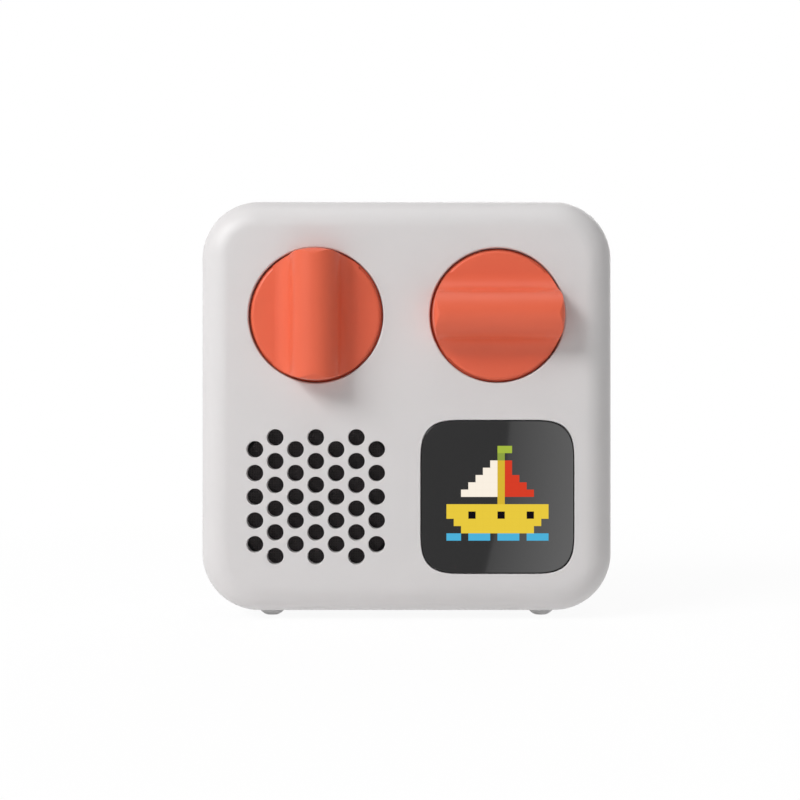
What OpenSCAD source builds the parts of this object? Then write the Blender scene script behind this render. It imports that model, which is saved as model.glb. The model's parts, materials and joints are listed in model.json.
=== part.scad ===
// Audio story player for children: a palm-sized rounded box with two push-and-turn
// knobs, a perforated speaker grille and a small picture window on its face, and a
// slot in its top for a story card.
//
// Part frame: +Z is up and the face looks along -Y. The origin is on the table, under
// the middle of the whole player. Most modules draw in the face frame, where x is to
// the right, y is up and z comes out of the face; "depth" is measured back from the face.

/* [Body] */
// Width of the case
body_w = 70; // [69:0.5:74]
// Height of the case without its feet
body_h = 70; // [69:0.5:74]
// Depth of the case without the knobs
body_d = 32; // [32:0.5:35]
// Corner radius of the case, seen from the front
corner_r = 9.8; // [9.4:0.1:10.4]
// Rounding of the front edges
front_edge_r = 5; // [4:0.25:5.5]
// Rounding of the rear edges
rear_edge_r = 3; // [2.5:0.25:3.5]
// Wall thickness of the sides and the back
wall = 2; // [1.8:0.1:2.2]
// Wall thickness of the face
face_wall = 2.2; // [2:0.1:2.2]
// Depth of the rear cover
cover_d = 5.8; // [5.4:0.1:6.4]

/* [Knobs] */
// Distance between the centres of the four things on the face
face_pitch = 30.6; // [30.2:0.1:31]
// Angle of the left knob, which stands upright at 90
left_turned = 90; // [0:15:180]
// Angle of the right knob, which lies level at 0
right_turned = 0; // [0:15:180]
// Diameter of a knob
knob_d = 22; // [20:0.25:22.4]
// Gap between a knob and the rim of its well
knob_gap = 0.36; // [0.3:0.02:0.6]
// How far a knob's ridge stands out of the face
knob_proud = 6; // [5.5:0.25:7]
// Half width of the ridge where its flanks meet the knob's face
ridge_foot = 7.2; // [6.6:0.1:7.6]
// Radius of the ridge's crest
crest_r = 4.1; // [3.9:0.05:4.3]
// Travel of a knob when it is pressed
press_travel = 0.8; // [0.5:0.1:0.9]

/* [Speaker grille] */
// Diameter of a sound hole
hole_d = 2.78; // [2:0.02:2.9]
// Distance between the columns of sound holes
hole_dx = 3.42; // [3.3:0.02:3.5]
// Distance between the holes of one column
hole_dy = 4; // [3.6:0.05:4.1]
// Number of columns
hole_columns = 7; // [5:2:7]

/* [Picture window] */
// Width and height of the window
window_w = 25.75; // [25:0.25:26.5]
// Length of the window's soft corners
window_corner = 7.4; // [7:0.1:8]
// Squareness of the soft corners, where 2 is a circle
window_power = 3.2; // [2.8:0.1:3.5]

/* [Card slot] */
// Width of the pocket, for a card 54 mm wide
pocket_w = 55.2; // [54.8:0.1:55.4]
// Gap of the pocket, for a card 0.8 mm thick
pocket_gap = 2.2; // [1.6:0.1:2.2]
// Gap of the slot's mouth in the top of the case
slot_gap = 4.3; // [4.2:0.1:4.6]
// Depth of the slot's middle behind the face
slot_depth = 18.1; // [18:0.1:18.2]

/* [Ports] */
// Bore of the headphone socket, for a plug of 3.5 mm
jack_bore_d = 3.6; // [3.55:0.01:3.65]
// Diameter of the power button
power_d = 6.8; // [6:0.2:7]
// Travel of the power button
power_travel = 0.4; // [0.2:0.1:0.4]

/* [Feet] */
// Height of the rubber feet
foot_h = 1.3; // [1:0.1:1.6]
// Distance of a foot from the middle, to the left and right
foot_x = 23.4; // [20:0.2:23.6]
// Distance of a foot's middle from the face and from the rear
foot_inset = 9.2; // [8.8:0.1:10]

/* [Hidden] */
$fn = 64;

shell_grey = [0.82, 0.81, 0.81];
knob_orange = [0.89, 0.38, 0.27];
foot_grey = [0.62, 0.62, 0.62];
glass_black = [0.10, 0.10, 0.10];
plastic_black = [0.13, 0.13, 0.14];
plastic_white = [0.88, 0.88, 0.86];
steel = [0.72, 0.73, 0.75];
gold = [0.85, 0.68, 0.33];
board_green = [0.10, 0.32, 0.22];
foam_black = [0.08, 0.08, 0.08];
paper_black = [0.16, 0.16, 0.17];
copper = [0.76, 0.45, 0.27];
cell_silver = [0.70, 0.71, 0.72];
red = [0.75, 0.12, 0.10];

// Overlap that keeps a cut from leaving a skin, and the slack of parts that only touch.
cut = 1;
slack = 0.1;

// Places in the part frame.
total_d = body_d + knob_proud;
face_y = knob_proud - total_d / 2;
centre_z = foot_h + body_h / 2;

// Places in the face frame.
side_in = body_w / 2 - wall;
top_in = body_h / 2 - wall;
off = face_pitch / 2;
left_knob_at = [-off, off];
right_knob_at = [off, off];
knob_places = [left_knob_at, right_knob_at];
speaker_at = [-off, -off];
window_at = [off, -off];

// Depths behind the face.
split_d = body_d - cover_d;
seam_gap = 0.4;
seam_inset = 0.35;
rear_in = body_d - wall;
lip_h = 2;
lip_t = 1.2;
counterbore_d = 2.2;
back_recess = 0.3;
back_margin = 11;
boss_root = face_wall - 0.4;
knob_skirt = 3;
well_floor = knob_skirt + press_travel + 0.4;
well_back = well_floor + 1.5;
board_front = 11.2;
board_back = 12.8;
board_gap = 0.8;

// Knobs and their encoders.
knob_r = knob_d / 2;
well_r = knob_r + knob_gap;
rim_round = 0.65;
ridge_round = 1.3;
ridge_draft = 1;
shaft_r = 3;
shaft_running = 0.05;
shaft_flat = 1.5;
shaft_top = 2.4;
flat_end = 3.5;
stem_front = 6;
stem_r = 2.2;
stem_flat = 1.7;
bushing_r = 3.5;
bushing_front = 4.3;
encoder_w = 12;
encoder_front = 5.9;
encoder_back = 10.8;
encoder_cavity_r = 4.9;
cavity_front = 6.9;
rotor_front = 7.2;
rotor_back = 8.2;
ring_front = 8.4;
ring_bore_r = 3.3;
hub_r = 4.8;
knob_hollow = 1.3;
shaft_end = 9.3;
plunger_end = 9.8;

// Picture window.
lens_gap = 0.1;
lens_sunk = 0.02;
lens_t = 1.4;
ledge_depth = 1.55;
aperture_w = 22;
aperture_r = 2.5;
panel_front = 2.6;
panel_back = 4.2;
panel_w = 22.6;
panel_h = 24.2;
carrier_wall = 1.2;
ribbon_w = 10;
ribbon_t = 0.2;
ribbon_y = -6.1;
ribbon_bend_r = 1.6;
ribbon_end_y = -1;
connector_front = 8.6;

// Speaker.
mesh_t = 0.3;
gasket_back = 3.3;
flange_back = 4.3;
retainer_back = 5.3;
speaker_r = 14;
frame_throat_r = 11.9;
frame_pocket_r = 12.9;
basket_back = 8;
basket_t = 0.8;
yoke_back = 11.4;
yoke_t = 0.8;
yoke_r = 8.3;
yoke_bore_r = 7.2;
pole_front = 8.2;
pole_back = 9;
coil_r = 6.2;
coil_t = 0.5;
coil_end = 10;
cone_neck = 6.2;
cone_rim_r = 11.2;
surround_t = 0.2;
roll_r = 0.7;
terminal_r = 11.6;
speaker_socket_r = 19.5;
collar_t = 1;
collar_gap = 0.8;
ear_off = 12;
ears = [[speaker_at[0] - ear_off, speaker_at[1] + ear_off],
    [speaker_at[0] + ear_off, speaker_at[1] - ear_off]];

// Screws of 2 mm thread.
screw_r = 0.83;
screw_hole_r = 0.85;
screw_clear_r = 1.1;
screw_head_r = 1.8;
screw_head_t = 1.2;
boss_r = 1.9;
guide_boss_r = 2.1;
case_thread_l = 9;
inner_thread_l = 6;

// Places of the screws.
case_boss_x = side_in - boss_r + 0.2;
case_boss_y = top_in - 7.5;
case_bosses = [for (sx = [-1, 1], sy = [-1, 1]) [sx * case_boss_x, sy * case_boss_y]];
guide_boss_x = side_in - screw_head_r - slack;
guide_boss_y = -8;
guide_bosses = [for (sx = [-1, 1]) [sx * guide_boss_x, guide_boss_y]];
board_bosses = [[-side_in + 2.8, 2.6], [0, top_in - 2.8], [side_in - 2.8, 7.2], [0.6, 2.6 - top_in]];

// Card pocket.
slot_rim_h = 0.7;
slot_rim_w = 1.2;
pocket_front = slot_depth - pocket_gap / 2;
pocket_back = slot_depth + pocket_gap / 2;
rail_t = 0.8;
rail_root = 0.2;
guide_t = 1.2;
lug_h = 4.8;
antenna_t = 1;
guide_bottom = -15.8;
guide_top = top_in - slot_rim_h - 0.2;
guide_half_w = pocket_w / 2 + rail_t;
guide_back = pocket_back + guide_t;
antenna_front = pocket_front - antenna_t;
slot_w = pocket_w + 0.4;
slot_corner_r = 0.8;
slot_lead_in = 0.5;
mouth_h = 1.6;
mouth_slope = 0.8;

// Ports on the right-hand side.
jack_y = 0.6;
jack_depth = 8.7;
jack_bore_l = 14;
jack_face = side_in - 0.2;
jack_hole_r = 3.7;
jack_w = 6;
jack_front = 6.2;
jack_nose_r = 2.45;
jack_nose_l = 1.2;
usb_y = -16.75;
usb_w = 8.94;
usb_t = 3.26;
usb_depth = board_front - usb_t / 2;
usb_rise = 0.25;
usb_mouth = side_in - usb_rise;
usb_l = 6;
usb_wall = 0.3;
usb_recess_w = 12;
usb_recess_t = 6.6;
usb_recess_r = 1.6;
usb_gasket_rim = 0.6;
usb_gasket_t = 0.5;
usb_plug_l = 4.8;
usb_tongue_w = 6.7;
usb_tongue_t = 0.7;
contact_pitch = 0.5;
power_y = off;
power_depth = 9.45;
power_back = side_in - 0.8;
power_face = body_w / 2 - 0.1;
power_flange_r = power_d / 2 + 0.9;
power_gap = 0.15;
switch_face = power_back - power_travel - 0.6;
switch_l = 3.5;
switch_w = 6;
plunger_r = 1;
plunger_l = 2.3;

// Battery.
cell_front = 20.8;
cell_back = 26.8;
cell_w = 42;
cell_top = 8.5;
cell_bottom = -21.5;
cell_r = 2.4;
battery_plug_at = [10, -27.5];
battery_plug_back = 18.6;
battery_wire_gap = 1.1;
wire_r = 0.5;

// ---- Helpers -------------------------------------------------------------------

// Puts what is drawn in the face frame in its place in the part frame.
module on_face() translate([0, face_y, centre_z]) rotate([90, 0, 0]) children();

// Extrudes a flat shape from one depth behind the face to another.
module slab(from, to) translate([0, 0, -to]) linear_extrude(to - from) children();

// A round bar between two depths.
module rod(r, from, to) slab(from, to) circle(r);

// A round bar along x, from one x to another, at a height and a depth.
module cross_rod(r, from, to, y, depth)
    translate([from, y, -depth]) rotate([0, 90, 0]) cylinder(r = r, h = to - from);

// A block given by its ranges of x, y and depth.
module block(x, y, depth)
    translate([x[0], y[0], -depth[1]]) cube([x[1] - x[0], y[1] - y[0], depth[1] - depth[0]]);

// A flat rectangle with round corners.
module round_rect(w, h, r) {
    square([w - 2 * r, h], center = true);
    square([w, h - 2 * r], center = true);
    for (sx = [-1, 1], sy = [-1, 1])
        translate([sx * (w / 2 - r), sy * (h / 2 - r)]) circle(r);
}

// A flat square whose corners are superellipse arcs, so that they start gently.
function soft_corner(half, reach, power, steps) =
    [for (i = [0 : steps]) let (a = 90 * i / steps)
        [half - reach + reach * pow(cos(a), 2 / power),
         half - reach + reach * pow(sin(a), 2 / power)]];
function turned(points, a) =
    [for (p = points) [p[0] * cos(a) - p[1] * sin(a), p[0] * sin(a) + p[1] * cos(a)]];
module soft_square(w, reach = window_corner)
    polygon([for (k = [0 : 3]) each turned(soft_corner(w / 2, reach, window_power, 10), 90 * k)]);

// Half section of a soft block's edge: r is its reach, and its two outer corners are
// rounded by front_r and rear_r.
module edge_section(r, from, to, front_r, rear_r) {
    translate([0, rear_r - to]) square([r, to - from - front_r - rear_r]);
    if (front_r > 0) {
        translate([0, -from - front_r]) square([r - front_r, front_r]);
        translate([r - front_r, -from - front_r]) intersection() {
            circle(front_r);
            square(front_r);
        }
    }
    if (rear_r > 0) {
        translate([0, -to]) square([r - rear_r, rear_r]);
        translate([r - rear_r, rear_r - to]) intersection() {
            circle(rear_r);
            translate([0, -rear_r]) square(rear_r);
        }
    }
}

// A box with round corners seen from the front, and soft front and rear edges.
module soft_block(w, h, r, from, to, front_r = 0, rear_r = 0) {
    block([r - w / 2, w / 2 - r], [r - h / 2, h / 2 - r], [from, to]);
    for (a = [0, 180]) {
        rotate(a) translate([w / 2 - r, 0, 0]) rotate([90, 0, 0])
            linear_extrude(h - 2 * r, center = true) edge_section(r, from, to, front_r, rear_r);
        rotate(a + 90) translate([h / 2 - r, 0, 0]) rotate([90, 0, 0])
            linear_extrude(w - 2 * r, center = true) edge_section(r, from, to, front_r, rear_r);
    }
    corners = [[1, 1], [-1, 1], [-1, -1], [1, -1]];
    for (k = [0 : 3])
        translate([corners[k][0] * (w / 2 - r), corners[k][1] * (h / 2 - r), 0])
            rotate(90 * k) rotate_extrude(angle = 90) edge_section(r, from, to, front_r, rear_r);
}

// A pan-head screw of 2 mm thread that goes in from behind: under is the depth under
// its head, and tip the depth that its point reaches.
module screw(at, under, tip) translate([at[0], at[1], 0]) difference() {
    union() {
        rod(screw_r, tip, under);
        rod(screw_head_r, under, under + screw_head_t);
    }
    for (a = [0, 90]) rotate(a)
        block([-1.1, 1.1], [-0.22, 0.22], [under + screw_head_t - 0.7, under + screw_head_t + cut]);
}

// A thin wire: a smooth line through the route's points, swept as a tube of 8 sides.
function on_route(p, i, t) =
    let (a = p[max(i - 1, 0)], b = p[i], c = p[i + 1], d = p[min(i + 2, len(p) - 1)])
    (2 * b + (c - a) * t + (2 * a - 5 * b + 4 * c - d) * t * t + (3 * b - 3 * c + d - a) * t * t * t) / 2;
function smooth_route(p, n) =
    [for (i = [0 : len(p) - 2], k = [0 : n - 1]) on_route(p, i, k / n), p[len(p) - 1]];
module wire(route, r, steps = 5) {
    sides = 8;
    line = smooth_route(route, steps);
    last = len(line) - 1;
    rings = [for (i = [0 : last]) let (
            along = line[min(i + 1, last)] - line[max(i - 1, 0)],
            t = along / norm(along),
            u = cross(t, [0.31, 0.87, 0.38]) / norm(cross(t, [0.31, 0.87, 0.38])),
            v = cross(t, u))
        for (k = [0 : sides - 1]) line[i] + r * (cos(360 * k / sides) * u + sin(360 * k / sides) * v)];
    skin = [for (i = [0 : last - 1], k = [0 : sides - 1])
        let (a = i * sides + k, b = i * sides + (k + 1) % sides)
        each [[a, a + sides, b + sides], [a, b + sides, b]]];
    ends = [for (k = [1 : sides - 2])
        each [[0, k, k + 1], [last * sides, last * sides + k + 1, last * sides + k]]];
    polyhedron(points = rings, faces = [for (f = concat(skin, ends)) [f[0], f[2], f[1]]]);
}

// ---- Case ----------------------------------------------------------------------

module sound_holes() {
    middle = (hole_columns - 1) / 2;
    for (c = [0 : hole_columns - 1]) {
        rows = c % 2 == 0 ? 5 : 6;
        for (k = [0 : rows - 1])
            translate([(c - middle) * hole_dx, (k - (rows - 1) / 2) * hole_dy]) children();
    }
}

module card_slot_cut() {
    translate([0, top_in - slot_rim_h - cut, -slot_depth]) rotate([-90, 0, 0])
        linear_extrude(wall + slot_rim_h + 2 * cut) round_rect(slot_w, slot_gap, slot_corner_r);
    // Sloping lips that guide the card in.
    intersection() {
        translate([0, 0, -slot_depth]) rotate([90, 0, 90]) linear_extrude(slot_w + 4, center = true)
            rotate(90) lead_in(slot_gap);
        translate([0, 0, -slot_depth]) linear_extrude(slot_gap + 4, center = true) mirror([0, 1])
            lead_in(slot_w);
    }
}

// Flat wedge under the top of the case that is as wide as the slot at its narrow end.
module lead_in(w) polygon([
    [-w / 2, slot_lead_in - body_h / 2], [w / 2, slot_lead_in - body_h / 2],
    [w / 2 + 2 * slot_lead_in, -slot_lead_in - body_h / 2],
    [-w / 2 - 2 * slot_lead_in, -slot_lead_in - body_h / 2]]);

// Hole that a screw cuts its thread in, from the open end of its boss.
module pilot(at, open, l) translate(at) rod(screw_hole_r, open - l, open + cut);

module front_shell() color(shell_grey) on_face() difference() {
    union() {
        difference() {
            soft_block(body_w, body_h, corner_r, 0, split_d, front_r = front_edge_r);
            soft_block(body_w - 2 * wall, body_h - 2 * wall, corner_r - wall, face_wall, split_d + cut,
                front_r = front_edge_r - wall);
        }
        // Cups that the knobs turn in.
        for (at = knob_places) translate(at) rod(well_r + (well_back - well_floor), boss_root, well_back);
        // Collar round the speaker, and the posts of its retainer.
        translate(speaker_at) difference() {
            rod(speaker_r + collar_gap + collar_t, boss_root, flange_back);
            rod(speaker_r + collar_gap, face_wall, flange_back + cut);
        }
        for (at = ears) translate(at) rod(boss_r, boss_root, flange_back);
        for (at = board_bosses) translate(at) rod(boss_r, boss_root, board_front);
        for (at = guide_bosses) translate(at) rod(guide_boss_r, boss_root, pocket_back);
        for (at = case_bosses) translate(at) rod(boss_r, boss_root, split_d);
        // Rim that stiffens the slot's mouth from inside.
        translate([0, top_in - slot_rim_h, -slot_depth]) rotate([-90, 0, 0]) linear_extrude(slot_rim_h + cut)
            round_rect(slot_w + 2 * slot_rim_w, slot_gap + 2 * slot_rim_w, slot_corner_r + slot_rim_w);
        // Rim that the charging socket's gasket seals on.
        usb_along(usb_mouth, side_in + cut) usb_recess(usb_gasket_rim);
    }
    for (at = knob_places) translate(at) {
        rod(well_r, -cut, well_floor);
        rod(bushing_r + 0.2, well_floor - cut, well_back + cut);
    }
    translate(speaker_at) slab(-cut, face_wall + cut) sound_holes() circle(d = hole_d);
    translate(window_at) {
        slab(-cut, ledge_depth) soft_square(window_w + 2 * lens_gap);
        slab(ledge_depth - cut, face_wall + cut) round_rect(aperture_w, aperture_w, aperture_r);
    }
    card_slot_cut();
    cross_rod(jack_hole_r, side_in - cut, body_w / 2 + cut, jack_y, jack_depth);
    cross_rod(power_d / 2 + power_gap, side_in - cut, body_w / 2 + cut, power_y, power_depth);
    usb_along(usb_mouth - cut, body_w / 2 + cut) usb_recess(0);
    for (at = case_bosses) pilot(at, split_d, case_thread_l);
    for (at = board_bosses) pilot(at, board_front, inner_thread_l);
    for (at = guide_bosses) pilot(at, pocket_back, inner_thread_l);
    for (at = ears) pilot(at, flange_back, flange_back - face_wall - slack);
    // Seats of the feet.
    for (at = foot_places) translate([at[0], -body_h / 2, at[1]]) rotate([-90, 0, 0])
        translate([0, 0, -cut]) cylinder(r = foot_seat_r, h = cut + foot_seat_t);
}

module rear_cover() color(shell_grey) on_face() difference() {
    union() {
        difference() {
            union() {
                soft_block(body_w, body_h, corner_r, split_d + seam_gap, body_d, rear_r = rear_edge_r);
                soft_block(body_w - 2 * seam_inset, body_h - 2 * seam_inset, corner_r - seam_inset,
                    split_d, split_d + seam_gap);
                // Lip that locates the cover inside the shell.
                soft_block(2 * (side_in - slack), 2 * (top_in - slack), corner_r - wall - slack,
                    split_d - lip_h, split_d);
            }
            soft_block(2 * (side_in - slack - lip_t), 2 * (top_in - slack - lip_t),
                corner_r - wall - slack - lip_t, split_d - lip_h - cut, rear_in);
        }
        for (at = case_bosses) translate(at) rod(boss_r + 1, split_d, rear_in + slack);
    }
    // The lip stops short of the shell's bosses, and the screws lie in counterbores.
    for (at = case_bosses) translate(at) {
        rod(boss_r + 0.4, split_d - lip_h - cut, split_d);
        rod(screw_clear_r, split_d - cut, body_d + cut);
        rod(screw_head_r + 0.25, body_d - counterbore_d, body_d + cut);
    }
    // Shallow panel in the back, which is left bare.
    slab(body_d - back_recess, body_d + cut)
        round_rect(body_w - 2 * back_margin, body_h - 2 * back_margin, 5);
}

module case_screws() color(steel) on_face()
    for (at = case_bosses) screw(at, body_d - counterbore_d, split_d - 6);

// The feet's places in the face frame, as x and z.
foot_places = [for (sx = [-1, 1], depth = [foot_inset, body_d - foot_inset]) [sx * foot_x, -depth]];
foot_r = 2.45;
foot_seat_r = foot_r + slack;
foot_seat_t = 0.5;
foot_flat_r = 1.1;
// Height of the centre of the dome that passes through the foot's flat and its rim.
foot_dome_z = (foot_h * foot_h + foot_r * foot_r - foot_flat_r * foot_flat_r) / (2 * foot_h);
foot_dome_r = sqrt(foot_dome_z * foot_dome_z + foot_flat_r * foot_flat_r);

module rubber_feet() color(foot_grey)
    for (at = foot_places) translate([at[0], face_y - at[1], 0]) {
        intersection() {
            translate([0, 0, foot_dome_z]) sphere(foot_dome_r);
            cylinder(r = foot_r, h = foot_h);
        }
        translate([0, 0, foot_h]) cylinder(r = foot_r, h = foot_seat_t);
    }

// ---- Picture window ------------------------------------------------------------

module window_lens() color(glass_black) on_face() translate(window_at)
    slab(lens_sunk, lens_sunk + lens_t) soft_square(window_w);

module lens_tape() color(foam_black) on_face() translate(window_at)
    slab(lens_sunk + lens_t, ledge_depth) difference() {
        soft_square(window_w - 0.6);
        round_rect(aperture_w + 0.4, aperture_w + 0.4, aperture_r);
    }

module display_gasket() color(foam_black) on_face() translate(window_at)
    slab(face_wall, panel_front) difference() {
        square([panel_w, panel_h], center = true);
        square(aperture_w - 1.4, center = true);
    }

module display_panel() color(glass_black) on_face() translate(window_at)
    slab(panel_front, panel_back) square([panel_w, panel_h], center = true);

module display_carrier() color(plastic_black) on_face() translate(window_at) difference() {
    slab(panel_back, board_front) square([panel_w, panel_h], center = true);
    slab(panel_back + carrier_wall, board_front + cut)
        square([panel_w - 2 * carrier_wall, panel_h - 2 * carrier_wall], center = true);
    // Slot that the ribbon comes through.
    slab(panel_back - cut, panel_back + carrier_wall + cut)
        translate([0, ribbon_y]) square([ribbon_w + 4, 5], center = true);
}

// The ribbon goes back from the panel, round a bend and on to its connector. It is
// drawn from the side, where bend_at is the centre of the bend.
module display_ribbon() color(copper) on_face() translate([window_at[0], window_at[1], 0])
    rotate([90, 0, 90]) linear_extrude(ribbon_w, center = true) {
        bend_at = [ribbon_y + ribbon_bend_r, ribbon_bend_r - connector_front - 0.5];
        translate([ribbon_y, bend_at[1]]) square([ribbon_t, -bend_at[1] - panel_back]);
        translate(bend_at) intersection() {
            difference() {
                circle(ribbon_bend_r);
                circle(ribbon_bend_r - ribbon_t);
            }
            translate([-ribbon_bend_r, -ribbon_bend_r]) square(ribbon_bend_r);
        }
        translate([bend_at[0], bend_at[1] - ribbon_bend_r]) square([ribbon_end_y - bend_at[0], ribbon_t]);
    }

module display_connector() color(plastic_white) on_face() translate([window_at[0], window_at[1], 0])
    difference() {
        block([-ribbon_w / 2 - 1.5, ribbon_w / 2 + 1.5], [ribbon_end_y - 1.5, ribbon_end_y + 2.5],
            [connector_front, board_front]);
        block([-ribbon_w / 2 - 0.1, ribbon_w / 2 + 0.1], [ribbon_end_y - 1.5 - cut, ribbon_end_y],
            [connector_front + 0.2, connector_front + 0.6]);
    }

// ---- Knobs and encoders --------------------------------------------------------

// Cross section of a knob's ridge. The flanks are hollow arcs that leave the face
// level and run into the round crest without a corner.
flank_r = (ridge_foot * ridge_foot + pow(knob_proud, 2)) / (2 * knob_proud) - crest_r;
crest_z = knob_proud - crest_r;
meet = crest_r / (crest_r + flank_r);
meet_at = [ridge_foot * meet, crest_z + (flank_r - crest_z) * meet];

module ridge_section() {
    difference() {
        polygon([[-ridge_foot, -1], [ridge_foot, -1], [ridge_foot, 0], meet_at,
            [-meet_at[0], meet_at[1]], [-ridge_foot, 0]]);
        for (s = [-1, 1]) translate([s * ridge_foot, flank_r]) circle(flank_r);
    }
    translate([0, crest_z]) circle(crest_r);
}

// A round bar from one height to another over the face, with its top edge rounded. Its
// radius is r at its foot, and its side leans in by an angle.
module domed_rod(r, from, to, top_r, lean = 0) {
    middle = r - (top_r + (to - top_r - from) * sin(lean)) / cos(lean);
    rotate_extrude() {
        polygon([[0, from], [r, from],
            [middle + top_r * cos(lean), to - top_r + top_r * sin(lean)],
            [middle, to - top_r], [middle, to], [0, to]]);
        translate([middle, to - top_r]) intersection() {
            circle(top_r);
            square(top_r);
        }
    }
}

// The hole and the shaft that it drives are round with one flat.
module d_shape(r, flat) difference() {
    circle(r);
    translate([flat, -r - cut]) square([r + cut, 2 * (r + cut)]);
}

// The stem under the shaft has two flats, which turn the rotor and slide in it.
module two_flats(r, flat) intersection() {
    circle(r);
    square([2 * flat, 2 * r + cut], center = true);
}

module knob(at, turn) color(knob_orange) on_face() translate(at) rotate(turn) difference() {
    union() {
        domed_rod(knob_r, -knob_skirt, 0, rim_round);
        intersection() {
            rotate([90, 0, 90]) linear_extrude(2 * knob_r + cut, center = true) ridge_section();
            domed_rod(knob_r, -1, knob_proud, ridge_round, ridge_draft);
        }
    }
    // Moulded hollow under the face, round the hub.
    difference() {
        rod(knob_r - 1.2, knob_hollow, knob_skirt + cut);
        rod(hub_r, knob_hollow - cut, knob_skirt + 2 * cut);
    }
    slab(-shaft_top - slack, knob_skirt + cut) d_shape(shaft_r + 0.02, shaft_flat + 0.02);
}

module encoder_shaft(at, turn) color(steel) on_face() translate(at) rotate(turn) {
    slab(-shaft_top, flat_end) d_shape(shaft_r, shaft_flat);
    rod(shaft_r, flat_end, stem_front);
    slab(stem_front, shaft_end) two_flats(stem_r, stem_flat);
}

module encoder_rotor(at, turn) color(plastic_white) on_face() translate(at) rotate(turn) difference() {
    rod(encoder_cavity_r - 0.2, rotor_front, rotor_back);
    slab(rotor_front - cut, rotor_back + cut)
        two_flats(stem_r + shaft_running, stem_flat + shaft_running);
    // Dimples of the click spring.
    for (a = [0 : 30 : 330]) rotate(a) translate([3.7, 0]) rod(0.35, rotor_front - cut, rotor_front + 0.3);
}

module encoder_housing(at) color(steel) on_face() translate(at) difference() {
    union() {
        slab(encoder_front, encoder_back) square([encoder_w, encoder_w], center = true);
        rod(bushing_r, bushing_front, encoder_front + cut);
    }
    rod(shaft_r + shaft_running, bushing_front - cut, encoder_back + cut);
    rod(encoder_cavity_r, cavity_front, encoder_back + cut);
}

// The moulded base closes the housing. The rotor's wipers run on the top of its ring,
// and the dome of the push switch lies inside the ring.
module encoder_base(at) color(plastic_black) on_face() translate(at) {
    slab(encoder_back, board_front) square([encoder_w, encoder_w], center = true);
    difference() {
        rod(encoder_cavity_r - 0.05, ring_front, encoder_back + 0.2);
        rod(ring_bore_r, ring_front - cut, encoder_back);
    }
    // Solder pins, which pass through the board.
    for (p = encoder_pins) translate(p) rod(pin_r, board_front - 0.2, board_back + 0.8);
}
encoder_pins = [[-2.5, -5], [0, -5], [2.5, -5], [-2.5, 5], [2.5, 5]];
pin_r = 0.45;

module push_plunger(at) color(plastic_white) on_face() translate(at) rod(1.6, shaft_end, plunger_end);

dome_foot_r = 2.9;
dome_rise = encoder_back - plunger_end - 0.02;
dome_r = (dome_foot_r * dome_foot_r + dome_rise * dome_rise) / (2 * dome_rise);
dome_t = 0.12;
module switch_dome(at) color(steel) on_face() translate([at[0], at[1], -encoder_back])
    rotate_extrude() intersection() {
        translate([0, dome_rise - dome_r]) difference() {
            circle(dome_r);
            circle(dome_r - dome_t);
        }
        square([dome_foot_r, dome_rise + cut]);
    }

module left_knob() knob(left_knob_at, left_turned);
module left_encoder_shaft() encoder_shaft(left_knob_at, left_turned);
module left_encoder_rotor() encoder_rotor(left_knob_at, left_turned);
module left_encoder_housing() encoder_housing(left_knob_at);
module left_encoder_base() encoder_base(left_knob_at);
module left_push_plunger() push_plunger(left_knob_at);
module left_switch_dome() switch_dome(left_knob_at);
module right_knob() knob(right_knob_at, right_turned);
module right_encoder_shaft() encoder_shaft(right_knob_at, right_turned);
module right_encoder_rotor() encoder_rotor(right_knob_at, right_turned);
module right_encoder_housing() encoder_housing(right_knob_at);
module right_encoder_base() encoder_base(right_knob_at);
module right_push_plunger() push_plunger(right_knob_at);
module right_switch_dome() switch_dome(right_knob_at);

// ---- Speaker -------------------------------------------------------------------

module speaker_mesh() color(foam_black) on_face() translate(speaker_at)
    rod(speaker_r - 0.1, face_wall, face_wall + mesh_t);

module speaker_gasket() color(foam_black) on_face() translate(speaker_at) difference() {
    rod(speaker_r, face_wall + mesh_t, gasket_back);
    rod(frame_pocket_r, face_wall, gasket_back + cut);
}

module speaker_frame() color(plastic_black) on_face() translate(speaker_at) difference() {
    union() {
        rod(speaker_r, gasket_back, flange_back);
        rotate_extrude() polygon([[frame_throat_r + 1.1, -flange_back], [9.8, -basket_back],
            [yoke_bore_r - 0.2, -basket_back], [yoke_bore_r - 0.2, basket_t - basket_back],
            [9.3, basket_t - basket_back], [frame_throat_r, -flange_back]]);
        // Terminal that the wires start from.
        rotate(45) block([9, terminal_r], [-2, 2], [basket_back - 1, basket_back]);
    }
    rod(frame_pocket_r, gasket_back - cut, flange_back - surround_t);
    rod(frame_throat_r, gasket_back - cut, flange_back);
    // Windows between the basket's legs.
    for (a = [45 : 90 : 315]) rotate(a) block([8, speaker_r], [-3, 3], [5.2, 6.9]);
}

module speaker_surround() color(foam_black) on_face()
    translate([speaker_at[0], speaker_at[1], surround_t - flange_back]) rotate_extrude() {
        // Half roll between the cone's rim and the lip that is glued to the frame.
        translate([cone_rim_r + roll_r, 0]) intersection() {
            difference() {
                circle(roll_r);
                circle(roll_r - surround_t);
            }
            translate([-roll_r, 0]) square([2 * roll_r, roll_r]);
        }
        translate([cone_rim_r, 0]) square(surround_t);
        translate([cone_rim_r + 2 * roll_r - surround_t, 0])
            square([frame_pocket_r - cone_rim_r - 2 * roll_r + surround_t, surround_t]);
    }

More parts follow.
